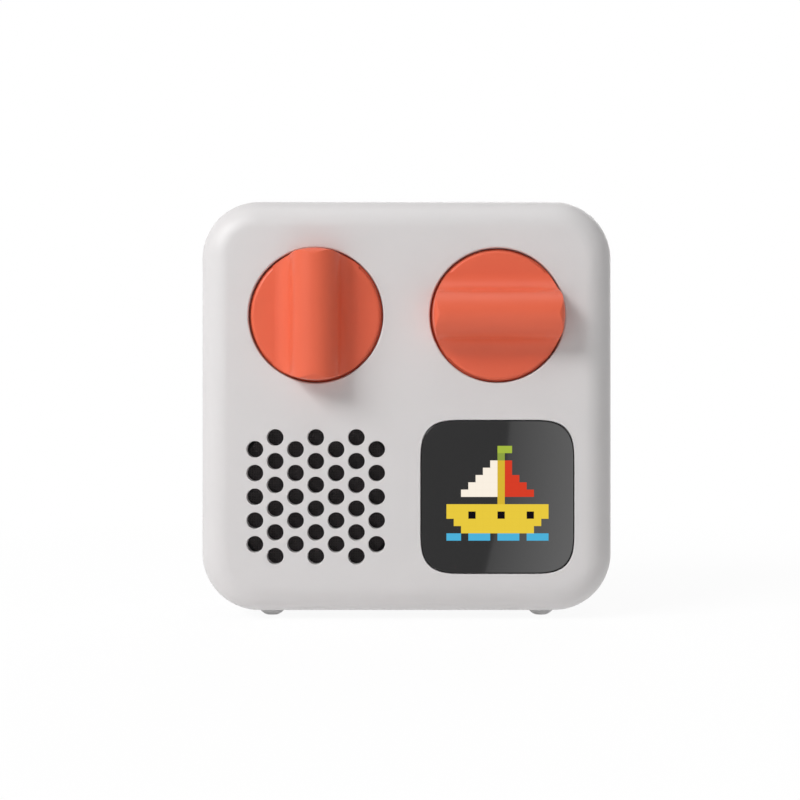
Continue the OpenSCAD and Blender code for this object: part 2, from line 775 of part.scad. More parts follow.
module speaker_cone() color(paper_black) on_face() translate([speaker_at[0], speaker_at[1], 0]) {
    rim = surround_t - flange_back;
    rotate_extrude() polygon([[coil_r - 0.5, -cone_neck], [coil_r + coil_t, -cone_neck],
        [cone_rim_r, rim], [cone_rim_r, rim + surround_t], [cone_rim_r - surround_t, rim + surround_t],
        [coil_r, 0.5 - cone_neck], [coil_r - 0.5, 0.5 - cone_neck]]);
    // Dust cap.
    translate([0, 0, -cone_neck]) rotate_extrude() intersection() {
        translate([0, cap_rise - cap_r]) difference() {
            circle(cap_r);
            circle(cap_r - 0.3);
        }
        square([coil_r, cap_rise]);
    }
}
cap_rise = 1.7;
cap_r = (coil_r * coil_r + cap_rise * cap_rise) / (2 * cap_rise);

module voice_coil() color(copper) on_face() translate(speaker_at) difference() {
    rod(coil_r + coil_t, cone_neck, coil_end);
    rod(coil_r, cone_neck - cut, coil_end + cut);
}

// Magnet with the pole plate on its front.
module speaker_magnet() color(steel) on_face() translate(speaker_at) {
    rod(coil_r - 0.7, pole_back, yoke_back - yoke_t);
    rod(coil_r - 0.4, pole_front, pole_back);
}

module speaker_yoke() color(steel) on_face() translate(speaker_at) difference() {
    rod(yoke_r, basket_back, yoke_back);
    rod(yoke_bore_r, basket_back - cut, yoke_back - yoke_t);
}

module speaker_retainer() color(plastic_black) on_face() difference() {
    union() {
        translate(speaker_at) rod(speaker_r + 0.6, flange_back, retainer_back);
        for (at = ears) translate(at) rod(boss_r + 0.8, flange_back, retainer_back);
    }
    translate(speaker_at) rod(frame_throat_r + 1.2, flange_back - cut, retainer_back + cut);
    for (at = ears) translate(at) rod(screw_clear_r, flange_back - cut, retainer_back + cut);
}

module speaker_screws() color(steel) on_face() for (at = ears) screw(at, retainer_back, face_wall + 0.5);

// One wire's route from the terminal to the socket, as distance from the speaker's
// middle, sideways and height.
speaker_wire_route = [[terminal_r, 1, -7.5], [13, 1, -7.5], [14.6, 1, -8.2], [16, 1, -9.2],
    [speaker_socket_r - 2.2, 1, -9.4]];
module speaker_wires() on_face() translate(speaker_at) rotate(45) for (s = [-1, 1])
    color(s < 0 ? red : plastic_black)
        wire([for (p = speaker_wire_route) [p[0], s * p[1], p[2]]], wire_r);

module speaker_socket() color(plastic_white) on_face() translate(speaker_at) rotate(45)
    translate([speaker_socket_r, 0, 0]) difference() {
        block([-2.2, 2.2], [-2, 2], [8.2, board_front]);
        block([0, 1.4], [-1.6, 1.6], [8.2 - cut, 10]);
    }

// ---- Main board ----------------------------------------------------------------

module board_outline() difference() {
    round_rect(2 * (side_in - board_gap), 2 * (top_in - board_gap), 6);
    translate(speaker_at) circle(speaker_r + 2.2);
    translate([-side_in, -top_in]) square([side_in + speaker_at[0] + 5, top_in + speaker_at[1]]);
    translate([-side_in, -top_in]) square([side_in + speaker_at[0], top_in + speaker_at[1] + 5]);
    for (at = concat(case_bosses, guide_bosses))
        translate([sign(at[0]) * side_in, at[1]]) square([8.4, 5.2], center = true);
    // Room for the power button's flange.
    translate([side_in, power_y])
        square([4 * board_gap, 2 * power_flange_r + 1.2], center = true);
    for (at = board_bosses) translate(at) circle(screw_clear_r);
    for (at = knob_places, p = encoder_pins) translate(at + p) circle(pin_r + 0.1);
}

module main_board() color(board_green) on_face() slab(board_front, board_back) board_outline();

module board_screws() color(steel) on_face()
    for (at = board_bosses) screw(at, board_back, board_front - 5);

// Each chip as x, y, width, height and thickness, on the back of the board.
chips = [[0, 22, 5, 5, 0.9], [-1, 14.5, 4, 4, 0.8], [1, 8, 6, 5, 1], [24, 27, 4, 4, 1.6],
    [25.5, 2, 3, 3, 1.4], [-24, 4, 4, 3, 0.8], [-6, 29, 3, 2.5, 1], [6, 29, 3, 2.5, 1],
    [-24, 27, 5, 4, 1.2], [8, 0.5, 3, 2, 0.8]];
module board_chips() color(plastic_black) on_face()
    for (c = chips) translate([c[0], c[1], 0])
        block([-c[2] / 2, c[2] / 2], [-c[3] / 2, c[3] / 2], [board_back, board_back + c[4]]);

module_at = [15.4, -13];
module_t = 0.8;
shield_back = board_back + 3;
module wireless_module() color(board_green) on_face() translate(module_at)
    slab(board_back, board_back + module_t) square([25.5, 18], center = true);

module wireless_shield() color(steel) on_face() translate(module_at)
    slab(board_back + module_t, shield_back) translate([-3, 0]) round_rect(17.5, 16, 0.6);

module board_header() color(plastic_black) on_face()
    block([-10.5, -1.5], [1, 3.2], [board_back, antenna_front]);

// ---- Ports and power button ----------------------------------------------------

module headphone_jack() color(plastic_black) on_face() difference() {
    union() {
        block([jack_face - jack_bore_l - 0.4, jack_face - jack_nose_l],
            [jack_y - jack_w / 2, jack_y + jack_w / 2], [jack_front, board_front]);
        cross_rod(jack_nose_r, jack_face - jack_nose_l - 0.2, jack_face, jack_y, jack_depth);
    }
    cross_rod(jack_bore_d / 2, jack_face - jack_bore_l, jack_face + cut, jack_y, jack_depth);
}

module usb_section(grow) round_rect(usb_w + 2 * grow, usb_t + 2 * grow, (usb_t + 2 * grow) / 2 - 0.05);
module usb_recess(grow)
    round_rect(usb_recess_w + 2 * grow, usb_recess_t + 2 * grow, usb_recess_r + grow);
module usb_along(from, to)
    translate([from, usb_y, -usb_depth]) rotate([90, 0, 90]) linear_extrude(to - from) children();

module usb_shell() color(steel) on_face() difference() {
    usb_along(usb_mouth - usb_l, usb_mouth) usb_section(0);
    usb_along(usb_mouth - usb_l - cut, usb_mouth + cut) usb_section(-usb_wall);
}

module usb_insert() color(plastic_black) on_face() {
    usb_along(usb_mouth - usb_l, usb_mouth - usb_plug_l) usb_section(-usb_wall);
    usb_along(usb_mouth - usb_plug_l - 0.2, usb_mouth - 0.6)
        square([usb_tongue_w, usb_tongue_t], center = true);
}

module usb_contacts() color(gold) on_face() for (k = [0 : 11], s = [-1, 1])
    usb_along(usb_mouth - usb_plug_l, usb_mouth - 1)
        translate([(k - 5.5) * contact_pitch, s * (usb_tongue_t / 2 + 0.05)])
            square([contact_pitch / 2, 0.1], center = true);

// Soft ring that closes the recess round the socket.
module usb_gasket() color(foam_black) on_face() usb_along(usb_mouth - usb_gasket_t, usb_mouth)
    difference() {
        usb_recess(usb_gasket_rim);
        usb_section(0);
    }

module power_button() color(knob_orange) on_face() {
    cross_rod(power_flange_r, power_back, side_in - 0.2, power_y, power_depth);
    translate([power_back, power_y, -power_depth]) rotate([0, 90, 0])
        domed_rod(power_d / 2, 0, power_face - power_back, 0.4);
}

module power_plunger() color(plastic_black) on_face()
    cross_rod(plunger_r, power_back - plunger_l, power_back, power_y, power_depth);

module power_switch() color(plastic_black) on_face() difference() {
    block([switch_face - switch_l, switch_face], [power_y - switch_w / 2, power_y + switch_w / 2],
        [power_depth - (board_front - power_depth), board_front]);
    cross_rod(plunger_r + 0.06, switch_face - 1.8, switch_face + cut, power_y, power_depth);
}

// ---- Card pocket ---------------------------------------------------------------

// Outline of what goes in between the walls of the front shell.
module inside_outline() round_rect(2 * (side_in - slack), 2 * (top_in - slack), corner_r - wall - slack);

module card_guide() color(plastic_white) on_face() difference() {
    intersection() {
        slab(antenna_front, guide_back) inside_outline();
        guide_body();
    }
    for (at = guide_bosses) translate(at) rod(screw_clear_r, pocket_back - cut, guide_back + cut);
    // Sloping edges of the mouth.
    translate([0, guide_top, -slot_depth]) rotate([90, 0, 90])
        linear_extrude(pocket_w, center = true) mouth_slopes();
}

module guide_body() {
    block([-guide_half_w, guide_half_w], [guide_bottom, guide_top], [pocket_back, guide_back]);
    // Stop that the card comes to rest on.
    block([-guide_half_w, guide_half_w], [guide_bottom, guide_bottom + guide_t],
        [pocket_front, pocket_back + rail_root]);
    // Lip in front of the pocket, over the edge of the reader's board.
    block([-guide_half_w, guide_half_w], [guide_top - mouth_h, guide_top],
        [antenna_front, pocket_front]);
    for (s = [0, 1]) mirror([s, 0, 0]) {
        // Rail beside the card.
        block([pocket_w / 2, guide_half_w], [guide_bottom, guide_top],
            [pocket_front - slack, pocket_back + rail_root]);
        // Lug under a screw.
        block([guide_half_w - rail_root, side_in - 2 * slack],
            [guide_boss_y - lug_h / 2, guide_boss_y + lug_h / 2], [pocket_back, guide_back]);
    }
}

// The wedge that the card slides in over, drawn from the side, with its middle at the
// pocket's and its wide end at the guide's top.
module mouth_slopes() polygon([[-mouth_slope, pocket_gap / 2], [0, pocket_gap / 2 + mouth_slope],
    [cut, pocket_gap / 2 + mouth_slope], [cut, -pocket_gap / 2 - mouth_slope],
    [0, -pocket_gap / 2 - mouth_slope], [-mouth_slope, -pocket_gap / 2]]);

module guide_screws() color(steel) on_face()
    for (at = guide_bosses) screw(at, guide_back, pocket_back - 4);

module antenna_board() color(board_green) on_face()
    slab(antenna_front, pocket_front - slack) intersection() {
        inside_outline();
        translate([-guide_half_w, guide_bottom])
            square([2 * guide_half_w, guide_top - mouth_h - slack - guide_bottom]);
    }

// The reader's coil: a square spiral of flat track on the board beside the pocket.
coil_turns = 5;
coil_pitch = 1.3;
coil_half = [25.5, 20];
track_w = 0.6;
track_t = 0.1;
module track(a, b) translate([min(a[0], b[0]) - track_w / 2, min(a[1], b[1]) - track_w / 2])
    square([abs(a[0] - b[0]) + track_w, abs(a[1] - b[1]) + track_w]);
function coil_corner(k) = let (in = floor(k / 4) * coil_pitch, side = k % 4)
    [(side == 1 || side == 2 ? 1 : -1) * (coil_half[0] - (side == 0 ? max(in - coil_pitch, 0) : in)),
     (side > 1 ? 1 : -1) * (coil_half[1] - in)];
module antenna_coil() color(copper) on_face() translate([0, (guide_top + guide_bottom) / 2, 0])
    slab(antenna_front - track_t, antenna_front)
        for (k = [0 : 4 * coil_turns - 2]) track(coil_corner(k), coil_corner(k + 1));

// ---- Battery -------------------------------------------------------------------

module battery_cell() color(cell_silver) on_face()
    translate([0, cell_top, -(cell_front + cell_back) / 2]) rotate([90, 0, 0])
        linear_extrude(cell_top - cell_bottom) round_rect(cell_w, cell_back - cell_front, cell_r);

// Foam pads in front of the cell, on the card guide, and behind it.
module battery_foam() color(foam_black) on_face() {
    block([-14, 14], [cell_bottom + 9, cell_top - 3], [guide_back, cell_front]);
    block([-15, 15], [cell_bottom + 5, cell_top - 5], [cell_back, rear_in]);
}

module battery_board() color(board_green) on_face()
    block([-19, 19], [cell_bottom - 3, cell_bottom], [22.6, 25]);

module battery_plug() color(plastic_white) on_face() translate(battery_plug_at) difference() {
    block([-3.2, 3.2], [-2.5, 2.5], [board_back, battery_plug_back]);
    for (s = [-1, 1]) translate([s * battery_wire_gap, 0])
        rod(wire_r + 0.1, battery_plug_back - 1.5, battery_plug_back + cut);
}

// One wire's route from the plug to the edge of the cell's board, from the plug's middle.
battery_wire_route = [[0, 0, -17.2], [0, 0, -18.6], [-0.8, -0.4, -20.6], [-3.4, -1.2, -22.8],
    [-6, 0.4, -23.8], [-7, 2, -23.8], [-7, 3, -23.8]];
module battery_wires() on_face() for (s = [-1, 1])
    color(s < 0 ? red : plastic_black)
        translate(battery_plug_at) wire([for (p = battery_wire_route) p + [s * battery_wire_gap, 0, 0]],
            wire_r);

// ---- Nodes ---------------------------------------------------------------------

front_shell();
rear_cover();
case_screws();
rubber_feet();
window_lens();
lens_tape();
display_gasket();
display_panel();
display_carrier();
display_ribbon();
display_connector();
left_knob();
left_encoder_shaft();
left_encoder_rotor();
left_encoder_housing();
left_encoder_base();
left_push_plunger();
left_switch_dome();
right_knob();
right_encoder_shaft();
right_encoder_rotor();
right_encoder_housing();
right_encoder_base();
right_push_plunger();
right_switch_dome();
speaker_mesh();
speaker_gasket();
speaker_frame();
speaker_surround();
speaker_cone();
voice_coil();
speaker_magnet();
speaker_yoke();
speaker_retainer();
speaker_screws();
speaker_wires();
speaker_socket();
main_board();
board_chips();
board_screws();
wireless_module();
wireless_shield();
headphone_jack();
usb_shell();
usb_insert();
usb_contacts();
usb_gasket();
power_button();
power_switch();
power_plunger();
card_guide();
guide_screws();
antenna_board();
antenna_coil();
board_header();
battery_cell();
battery_foam();
battery_board();
battery_wires();
battery_plug();
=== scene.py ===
"""Audio story player for children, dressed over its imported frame.

The frame is in metres: +Z is up, the face looks along -Y, and the origin is on the
table under the middle of the player. Sizes here are written in millimetres and pass
through mm(). "Depth" is measured back from the face, as in the part's source.
"""

import json
import math

import bmesh
import bpy
from mathutils import Matrix, Vector


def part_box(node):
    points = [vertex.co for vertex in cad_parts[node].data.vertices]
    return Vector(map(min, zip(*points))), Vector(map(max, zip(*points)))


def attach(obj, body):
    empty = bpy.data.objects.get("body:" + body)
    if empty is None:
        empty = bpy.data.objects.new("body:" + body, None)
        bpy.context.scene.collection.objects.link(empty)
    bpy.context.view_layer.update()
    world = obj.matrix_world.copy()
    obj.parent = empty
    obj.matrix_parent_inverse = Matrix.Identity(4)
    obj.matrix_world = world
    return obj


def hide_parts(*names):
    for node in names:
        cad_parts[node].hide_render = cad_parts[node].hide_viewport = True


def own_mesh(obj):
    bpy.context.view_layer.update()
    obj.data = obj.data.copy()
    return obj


def mm(*values):
    """Millimetres as metres: one number, or a vector of three."""
    scaled = [v * 0.001 for v in values]
    return scaled[0] if len(scaled) == 1 else Vector(scaled)


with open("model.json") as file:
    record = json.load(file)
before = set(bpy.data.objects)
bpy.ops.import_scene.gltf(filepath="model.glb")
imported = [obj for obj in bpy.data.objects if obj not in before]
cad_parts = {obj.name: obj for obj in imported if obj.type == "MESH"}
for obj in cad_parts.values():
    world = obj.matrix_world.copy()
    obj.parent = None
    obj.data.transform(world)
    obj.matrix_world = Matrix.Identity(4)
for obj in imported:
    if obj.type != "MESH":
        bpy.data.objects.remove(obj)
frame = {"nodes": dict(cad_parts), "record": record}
bpy.context.view_layer.update()
scene = bpy.context.scene

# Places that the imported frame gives.
SHELL_LOW, SHELL_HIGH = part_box("front_shell")
FACE_Y = SHELL_LOW.y
SIDE_X = SHELL_HIGH.x
LENS_LOW, LENS_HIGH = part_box("window_lens")
WINDOW_AT = (LENS_LOW + LENS_HIGH) / 2
KNOB_Z = sum(corner.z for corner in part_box("left_knob")) / 2
KNOB_PITCH = sum(corner.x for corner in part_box("right_knob"))
SPEAKER_AT = sum(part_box("speaker_mesh"), Vector()) / 2
MIDDLE_Z = (SHELL_LOW.z + SHELL_HIGH.z) / 2

# Sizes that the part's source gives, in millimetres.
KNOB_WELL_R = 11.36
KNOB_WELL_DEPTH = 4.2
SOUND_HOLE_R = 1.39
SOUND_COLUMNS = 7
SOUND_ROWS = 5
SOUND_COLUMN_PITCH = 3.42
SOUND_HOLE_PITCH = 4.0
FACE_WALL = 2.2
SIDE_WALL = 2.0
WINDOW_W = 25.75
WINDOW_GAP = 0.1
WINDOW_CORNER = 7.4
WINDOW_POWER = 3.2
WINDOW_LEDGE = 1.55
JACK_HOLE_R = 3.7
JACK_HOLE_Y = -4.3
POWER_HOLE_R = 3.55
CASE_SCREW_X = 62.6
CASE_SCREW_Z = 51.0
CASE_SCREW_HEAD = 1.2

# Rounding of the case's rims and of the window's front edge, in millimetres.
SOUND_HOLE_RIM = 0.12
KNOB_WELL_RIM = 0.3
WINDOW_RIM = 0.08
WINDOW_EDGE = 0.14
JACK_HOLE_RIM = 0.35
POWER_HOLE_RIM = 0.25
# How far a cutter goes past the side of the hole that is there, past the outer surface,
# and past the inside of the face and of the case's side.
OVERCUT = 0.01
STAND_OUT = 0.3
PAST_FACE_WALL = 0.2
PAST_SIDE_WALL = 0.1
# Facets round a knob and its well, a hole in the case's side, and a sound hole.
KNOB_SIDES = 144
SIDE_HOLE_SIDES = 64
SOUND_HOLE_SIDES = 40


# ---- Meshes ----------------------------------------------------------------------


def new_piece(name, mesh):
    """An object at the origin that shows a mesh."""
    piece = bpy.data.objects.new(name, mesh)
    scene.collection.objects.link(piece)
    return piece


def piece_of(shape, name):
    """An object at the origin that shows what was built in a bmesh."""
    mesh = bpy.data.meshes.new(name)
    shape.to_mesh(mesh)
    shape.free()
    return new_piece(name, mesh)


def merged_copy(node, name):
    """A piece with a CAD node's shape, its loose triangles joined into one skin."""
    mesh = frame["nodes"][node].data.copy()
    piece = new_piece(name, mesh)
    shape = bmesh.new()
    shape.from_mesh(mesh)
    bmesh.ops.remove_doubles(shape, verts=shape.verts, dist=mm(0.0005))
    shape.to_mesh(mesh)
    shape.free()
    if mesh.attributes.get("custom_normal"):
        mesh.attributes.remove(mesh.attributes["custom_normal"])
    return piece


def loft(name, rings):
    """A closed skin through rings of equal length, with a flat cap on each end."""
    shape = bmesh.new()
    rows = [[shape.verts.new(point) for point in ring] for ring in rings]
    count = len(rings[0])
    for low, high in zip(rows, rows[1:]):
        for k in range(count):
            shape.faces.new((low[k], low[(k + 1) % count], high[(k + 1) % count], high[k]))
    shape.faces.new(list(reversed(rows[0])))
    shape.faces.new(rows[-1])
    bmesh.ops.recalc_face_normals(shape, faces=shape.faces)
    return piece_of(shape, name)


def lathe(name, profile, sides=48):
    """A closed solid of revolution about Y from a profile of (radius, y) in millimetres,
    which starts and ends on the axis, or is a loop clear of it."""
    shape = bmesh.new()
    on_axis = profile[0][0] == 0
    rows = []
    for radius, y in profile[1:-1] if on_axis else profile + profile[:1]:
        rows.append([shape.verts.new(mm(radius * math.cos(a), y, radius * math.sin(a)))
                     for a in (2 * math.pi * k / sides for k in range(sides))])
    for low, high in zip(rows, rows[1:]):
        for k in range(sides):
            shape.faces.new((low[k], low[(k + 1) % sides], high[(k + 1) % sides], high[k]))
    if on_axis:
        for (radius, y), row in zip((profile[0], profile[-1]), (rows[0], rows[-1])):
            end = shape.verts.new(mm(0, y, 0))
            for k in range(sides):
                shape.faces.new((end, row[k], row[(k + 1) % sides]))
    bmesh.ops.remove_doubles(shape, verts=shape.verts, dist=mm(0.0005))
    bmesh.ops.recalc_face_normals(shape, faces=shape.faces)
    return piece_of(shape, name)


def settled(piece):
    """Turns a piece's modifiers into plain mesh."""
    bpy.context.view_layer.update()
    graph = bpy.context.evaluated_depsgraph_get()
    mesh = bpy.data.meshes.new_from_object(piece.evaluated_get(graph))
    piece.modifiers.clear()
    piece.data = mesh
    return piece


def placed(piece, matrix):
    """Puts a piece's mesh in its place, with the object left at the origin."""
    piece.data.transform(matrix)
    if matrix.determinant() < 0:
        piece.data.flip_normals()
    return piece


def combine(piece, operation, *solids):
    """Joins solids to a piece or cuts them out of it, and deletes them."""
    for solid in solids:
        step = piece.modifiers.new(solid.name, "BOOLEAN")
        step.object = solid
        step.operation = operation
        step.solver = "MANIFOLD"
    settled(piece)
    for solid in solids:
        bpy.data.objects.remove(solid)
    return piece


def soften(piece, angle=30):
    """Smooth shading up to an angle, with the flat faces kept flat."""
    mesh = piece.data
    mesh.shade_smooth()
    mesh.set_sharp_from_angle(angle=math.radians(angle))
    lean = piece.modifiers.new("flat faces stay flat", "WEIGHTED_NORMAL")
    lean.mode = "FACE_AREA"
    lean.weight = 60
    lean.keep_sharp = True
    return settled(piece)


def arc(end, steps):
    """Angles from zero to an end in degrees, in equal steps."""
    return [math.radians(end * k / steps) for k in range(steps + 1)]


def soft_square(width, reach=WINDOW_CORNER, power=WINDOW_POWER, steps=24):
    """Outline of a square whose corners are superellipse arcs, in millimetres."""
    half = width / 2
    outline = []
    for quarter in range(4):
        turn = Matrix.Rotation(quarter * math.pi / 2, 2)
        for k in range(steps + 1):
            a = math.pi / 2 * k / steps
            corner = Vector((
                half - reach + reach * math.cos(a) ** (2 / power),
                half - reach + reach * max(math.sin(a), 0) ** (2 / power),
            ))
            outline.append(turn @ corner)
    return outline


def window_ring(width, depth):
    """One outline of the window's width, at a depth behind the face."""
    return [
        Vector((WINDOW_AT.x + mm(p.x), FACE_Y + mm(depth), WINDOW_AT.z + mm(p.y)))
        for p in soft_square(width)
    ]


# ---- Node trees ------------------------------------------------------------------


def add(tree, kind, inputs=None, **settings):
    """Adds a node with its settings, and sets or links its inputs."""
    node = tree.nodes.new(kind)
    for name, value in settings.items():
        setattr(node, name, value)
    for name, value in (inputs or {}).items():
        if isinstance(value, bpy.types.NodeSocket):
            tree.links.new(value, node.inputs[name])
        else:
            node.inputs[name].default_value = value
    return node


def new_geometry_tree(name, inputs):
    """A geometry tree with one geometry output and the named inputs. Returns it with
    its group input and output nodes."""
    tree = bpy.data.node_groups.new(name, "GeometryNodeTree")
    tree.interface.new_socket("Geometry", in_out="OUTPUT", socket_type="NodeSocketGeometry")
    for label, (kind, value) in inputs.items():
        socket = tree.interface.new_socket(label, in_out="INPUT", socket_type=kind)
        if value is not None:
            socket.default_value = value
    return tree, tree.nodes.new("NodeGroupInput"), tree.nodes.new("NodeGroupOutput")


def grown(name, tree, mesh=None, **inputs):
    """A plain mesh piece that a geometry tree makes from its inputs, named with
    underscores for spaces."""
    piece = new_piece(name, mesh or bpy.data.meshes.new(name))
    growth = piece.modifiers.new(name, "NODES")
    growth.node_group = tree
    for item in tree.interface.items_tree:
        key = item.name.lower().replace(" ", "_")
        if item.in_out == "INPUT" and key in inputs:
            growth[item.identifier] = inputs[key]
    return settled(piece)


# A rim's rounding goes this far round, in this many steps. It stops just short of a right
# angle, so that the cutter still crosses the surface.
RIM_ARC = 84
RIM_STEPS = 7


def flared_bores_tree():
    """Solids that cut a field of round bores whose rims are rounded over. The columns
    run along X and stand along Y, the bores go down from Z = 0, and every second
    column holds as many more bores as Stagger says."""
    length, count = "NodeSocketFloat", "NodeSocketInt"
    tree, given, result = new_geometry_tree("flared bores", {
        "Columns": (count, 1),
        "Rows": (count, 1),
        "Stagger": (count, 0),
        "Column Pitch": (length, 0.0),
        "Hole Pitch": (length, 0.0),
        "Radius": (length, 0.001),
        "Rim": (length, 0.0002),
        "Depth": (length, 0.002),
        "Sides": (count, 48),
    })
    value = given.outputs

    def maths(operation, first, second=0.0):
        return add(tree, "ShaderNodeMath", {0: first, 1: second}, operation=operation).outputs[0]

    # One point for each bore, numbered column by column.
    most = maths("ADD", value["Rows"], value["Stagger"])
    index = add(tree, "GeometryNodeInputIndex").outputs[0]
    column = maths("FLOOR", maths("DIVIDE", maths("ADD", index, 0.5), most))
    row = maths("SUBTRACT", index, maths("MULTIPLY", column, most))
    odd = maths("MODULO", column, 2.0)
    rows = maths("ADD", value["Rows"], maths("MULTIPLY", odd, value["Stagger"]))
    half_width = maths("DIVIDE", maths("SUBTRACT", value["Columns"], 1.0), 2.0)
    half_height = maths("DIVIDE", maths("SUBTRACT", rows, 1.0), 2.0)
    across = maths("SUBTRACT", column, half_width)
    up = maths("SUBTRACT", row, half_height)
    spot = add(tree, "ShaderNodeCombineXYZ", {
        "X": maths("MULTIPLY", across, value["Column Pitch"]),
        "Y": maths("MULTIPLY", up, value["Hole Pitch"]),
    })
    points = add(tree, "GeometryNodePoints", {
        "Count": maths("MULTIPLY", value["Columns"], most),
        "Position": spot.outputs[0],
    })
    spare = add(tree, "FunctionNodeCompare", {0: row, 1: maths("SUBTRACT", rows, 0.5)},
                operation="GREATER_THAN")
    kept = add(tree, "GeometryNodeDeleteGeometry",
               {"Geometry": points.outputs[0], "Selection": spare.outputs[0]}, domain="POINT")

    # A rod of numbered rings: ring 0 at the bore's end, the next ones up the rounded rim,
    # and the last just over the surface.
    last_ring = RIM_STEPS + 2
    rod = add(tree, "GeometryNodeMeshCylinder", {
        "Vertices": value["Sides"], "Side Segments": last_ring,
        "Radius": 1.0, "Depth": float(last_ring),
    })
    position = add(tree, "GeometryNodeInputPosition").outputs[0]
    place = add(tree, "ShaderNodeSeparateXYZ", {0: position})
    ring = maths("ADD", place.outputs["Z"], last_ring / 2)
    step = maths("MINIMUM", maths("MAXIMUM", maths("SUBTRACT", ring, 1.0), 0.0), float(RIM_STEPS))
    angle = maths("MULTIPLY", step, math.radians(RIM_ARC) / RIM_STEPS)
    grow = maths("MULTIPLY", value["Rim"], maths("SUBTRACT", 1.0, maths("COSINE", angle)))
    rise = maths("MULTIPLY", value["Rim"], maths("SUBTRACT", maths("SINE", angle), 1.0))
    first = maths("LESS_THAN", ring, 0.5)
    last = maths("GREATER_THAN", ring, last_ring - 0.5)
    drop = maths("MULTIPLY", first, maths("SUBTRACT", value["Depth"], value["Rim"]))
    clear = maths("MULTIPLY", last, mm(STAND_OUT))
    height = maths("ADD", maths("SUBTRACT", rise, drop), clear)
    width = maths("ADD", value["Radius"], grow)
    shaped = add(tree, "GeometryNodeSetPosition", {
        "Geometry": rod.outputs["Mesh"],
        "Position": add(tree, "ShaderNodeCombineXYZ", {
            "X": maths("MULTIPLY", place.outputs["X"], width),
            "Y": maths("MULTIPLY", place.outputs["Y"], width),
            "Z": height,
        }).outputs[0],
    })
    field = add(tree, "GeometryNodeInstanceOnPoints",
                {"Points": kept.outputs[0], "Instance": shaped.outputs[0]})
    solid = add(tree, "GeometryNodeRealizeInstances", {"Geometry": field.outputs[0]})
    tree.links.new(solid.outputs[0], result.inputs[0])
    return tree


BORES = flared_bores_tree()

# Turns that carry a pattern drawn looking down -Z onto a side of the case.
ONTO_FACE = Matrix.Rotation(math.radians(90), 4, "X")
ONTO_RIGHT = Matrix.Rotation(math.radians(90), 4, "Y")


def bores(name, at, turn, **sizes):
    """Cutters for a field of bores whose rims are rounded over, on one side of the case."""
    return placed(grown(name, BORES, **sizes), Matrix.Translation(at) @ turn)


# ---- Finishes --------------------------------------------------------------------


def linear(code):
    """An sRGB hex colour as linear red, green, blue and alpha."""
    channels = [int(code[k:k + 2], 16) / 255 for k in (0, 2, 4)]
    return [c / 12.92 if c <= 0.04045 else ((c + 0.055) / 1.055) ** 2.4 for c in channels] + [1.0]


# How large the slow changes of a surface's colour are, in millimetres.
PLASTIC_PATCH = 9
METAL_PATCH = 3
ACRYLIC_PATCH = 5
# The relief of drawn lines on metal, and how much finer they are across than along.
LINE_DEPTH = 0.004
LINE_STRETCH = 0.04
# The spacing of a board's copper tracks and how far they raise the lacquer.
TRACK_SPACING = 2.4
TRACK_HEIGHT = 0.03


def per_mm(size):
    """Scale of a pattern on Object coordinates whose grains are this many millimetres."""
    return 1000.0 / size


def new_finish(name, **shader):
    """A material with one Principled shader, set as given. Returns the material, its
    tree, the shader and the Object coordinates."""
    material = bpy.data.materials.new(name)
    material.use_nodes = True
    tree = material.node_tree
    surface = tree.nodes["Principled BSDF"]
    for label, value in shader.items():
        surface.inputs[label.replace("_", " ")].default_value = value
    return material, tree, surface, add(tree, "ShaderNodeTexCoord").outputs["Object"]


def colour_between(tree, share, first, second):
    """A colour that changes from one sRGB hex colour to another with a share."""
    blend = add(tree, "ShaderNodeMix", {0: share, 6: linear(first), 7: linear(second)},
                data_type="RGBA")
    return blend.outputs[2]


def bumps(tree, height, relief):
    """Surface normals over a height field whose relief is in millimetres."""
    return add(tree, "ShaderNodeBump", {"Height": height, "Distance": mm(relief)}).outputs[0]


def give(tree, surface, **sockets):
    """Links sockets to a shader's inputs, named with underscores for spaces."""
    for label, socket in sockets.items():
        tree.links.new(socket, surface.inputs[label.replace("_", " ")])


def moulded(name, colour, drift, roughness, grain, relief, specular=0.5):
    """Plastic or rubber from a mould. The colour drifts a little towards a second one
    over some millimetres, and the eroded grain of the mould breaks up the gloss."""
    material, tree, surface, at = new_finish(name, Specular_IOR_Level=specular, IOR=1.5)
    cloud = add(tree, "ShaderNodeTexNoise",
                {"Vector": at, "Scale": per_mm(PLASTIC_PATCH), "Detail": 2.0})
    tint = colour_between(tree, cloud.outputs[0], colour, drift)
    pores = add(tree, "ShaderNodeTexNoise", {"Vector": at, "Scale": per_mm(grain), "Detail": 3.0,
                                             "Roughness": 0.6})
    dull = add(tree, "ShaderNodeMapRange", {0: pores.outputs[0], 1: 0.35, 2: 0.65,
                                            3: roughness - 0.05, 4: roughness + 0.05})
    give(tree, surface, Base_Color=tint, Roughness=dull.outputs[0],
         Normal=bumps(tree, pores.outputs[0], relief))
    return material


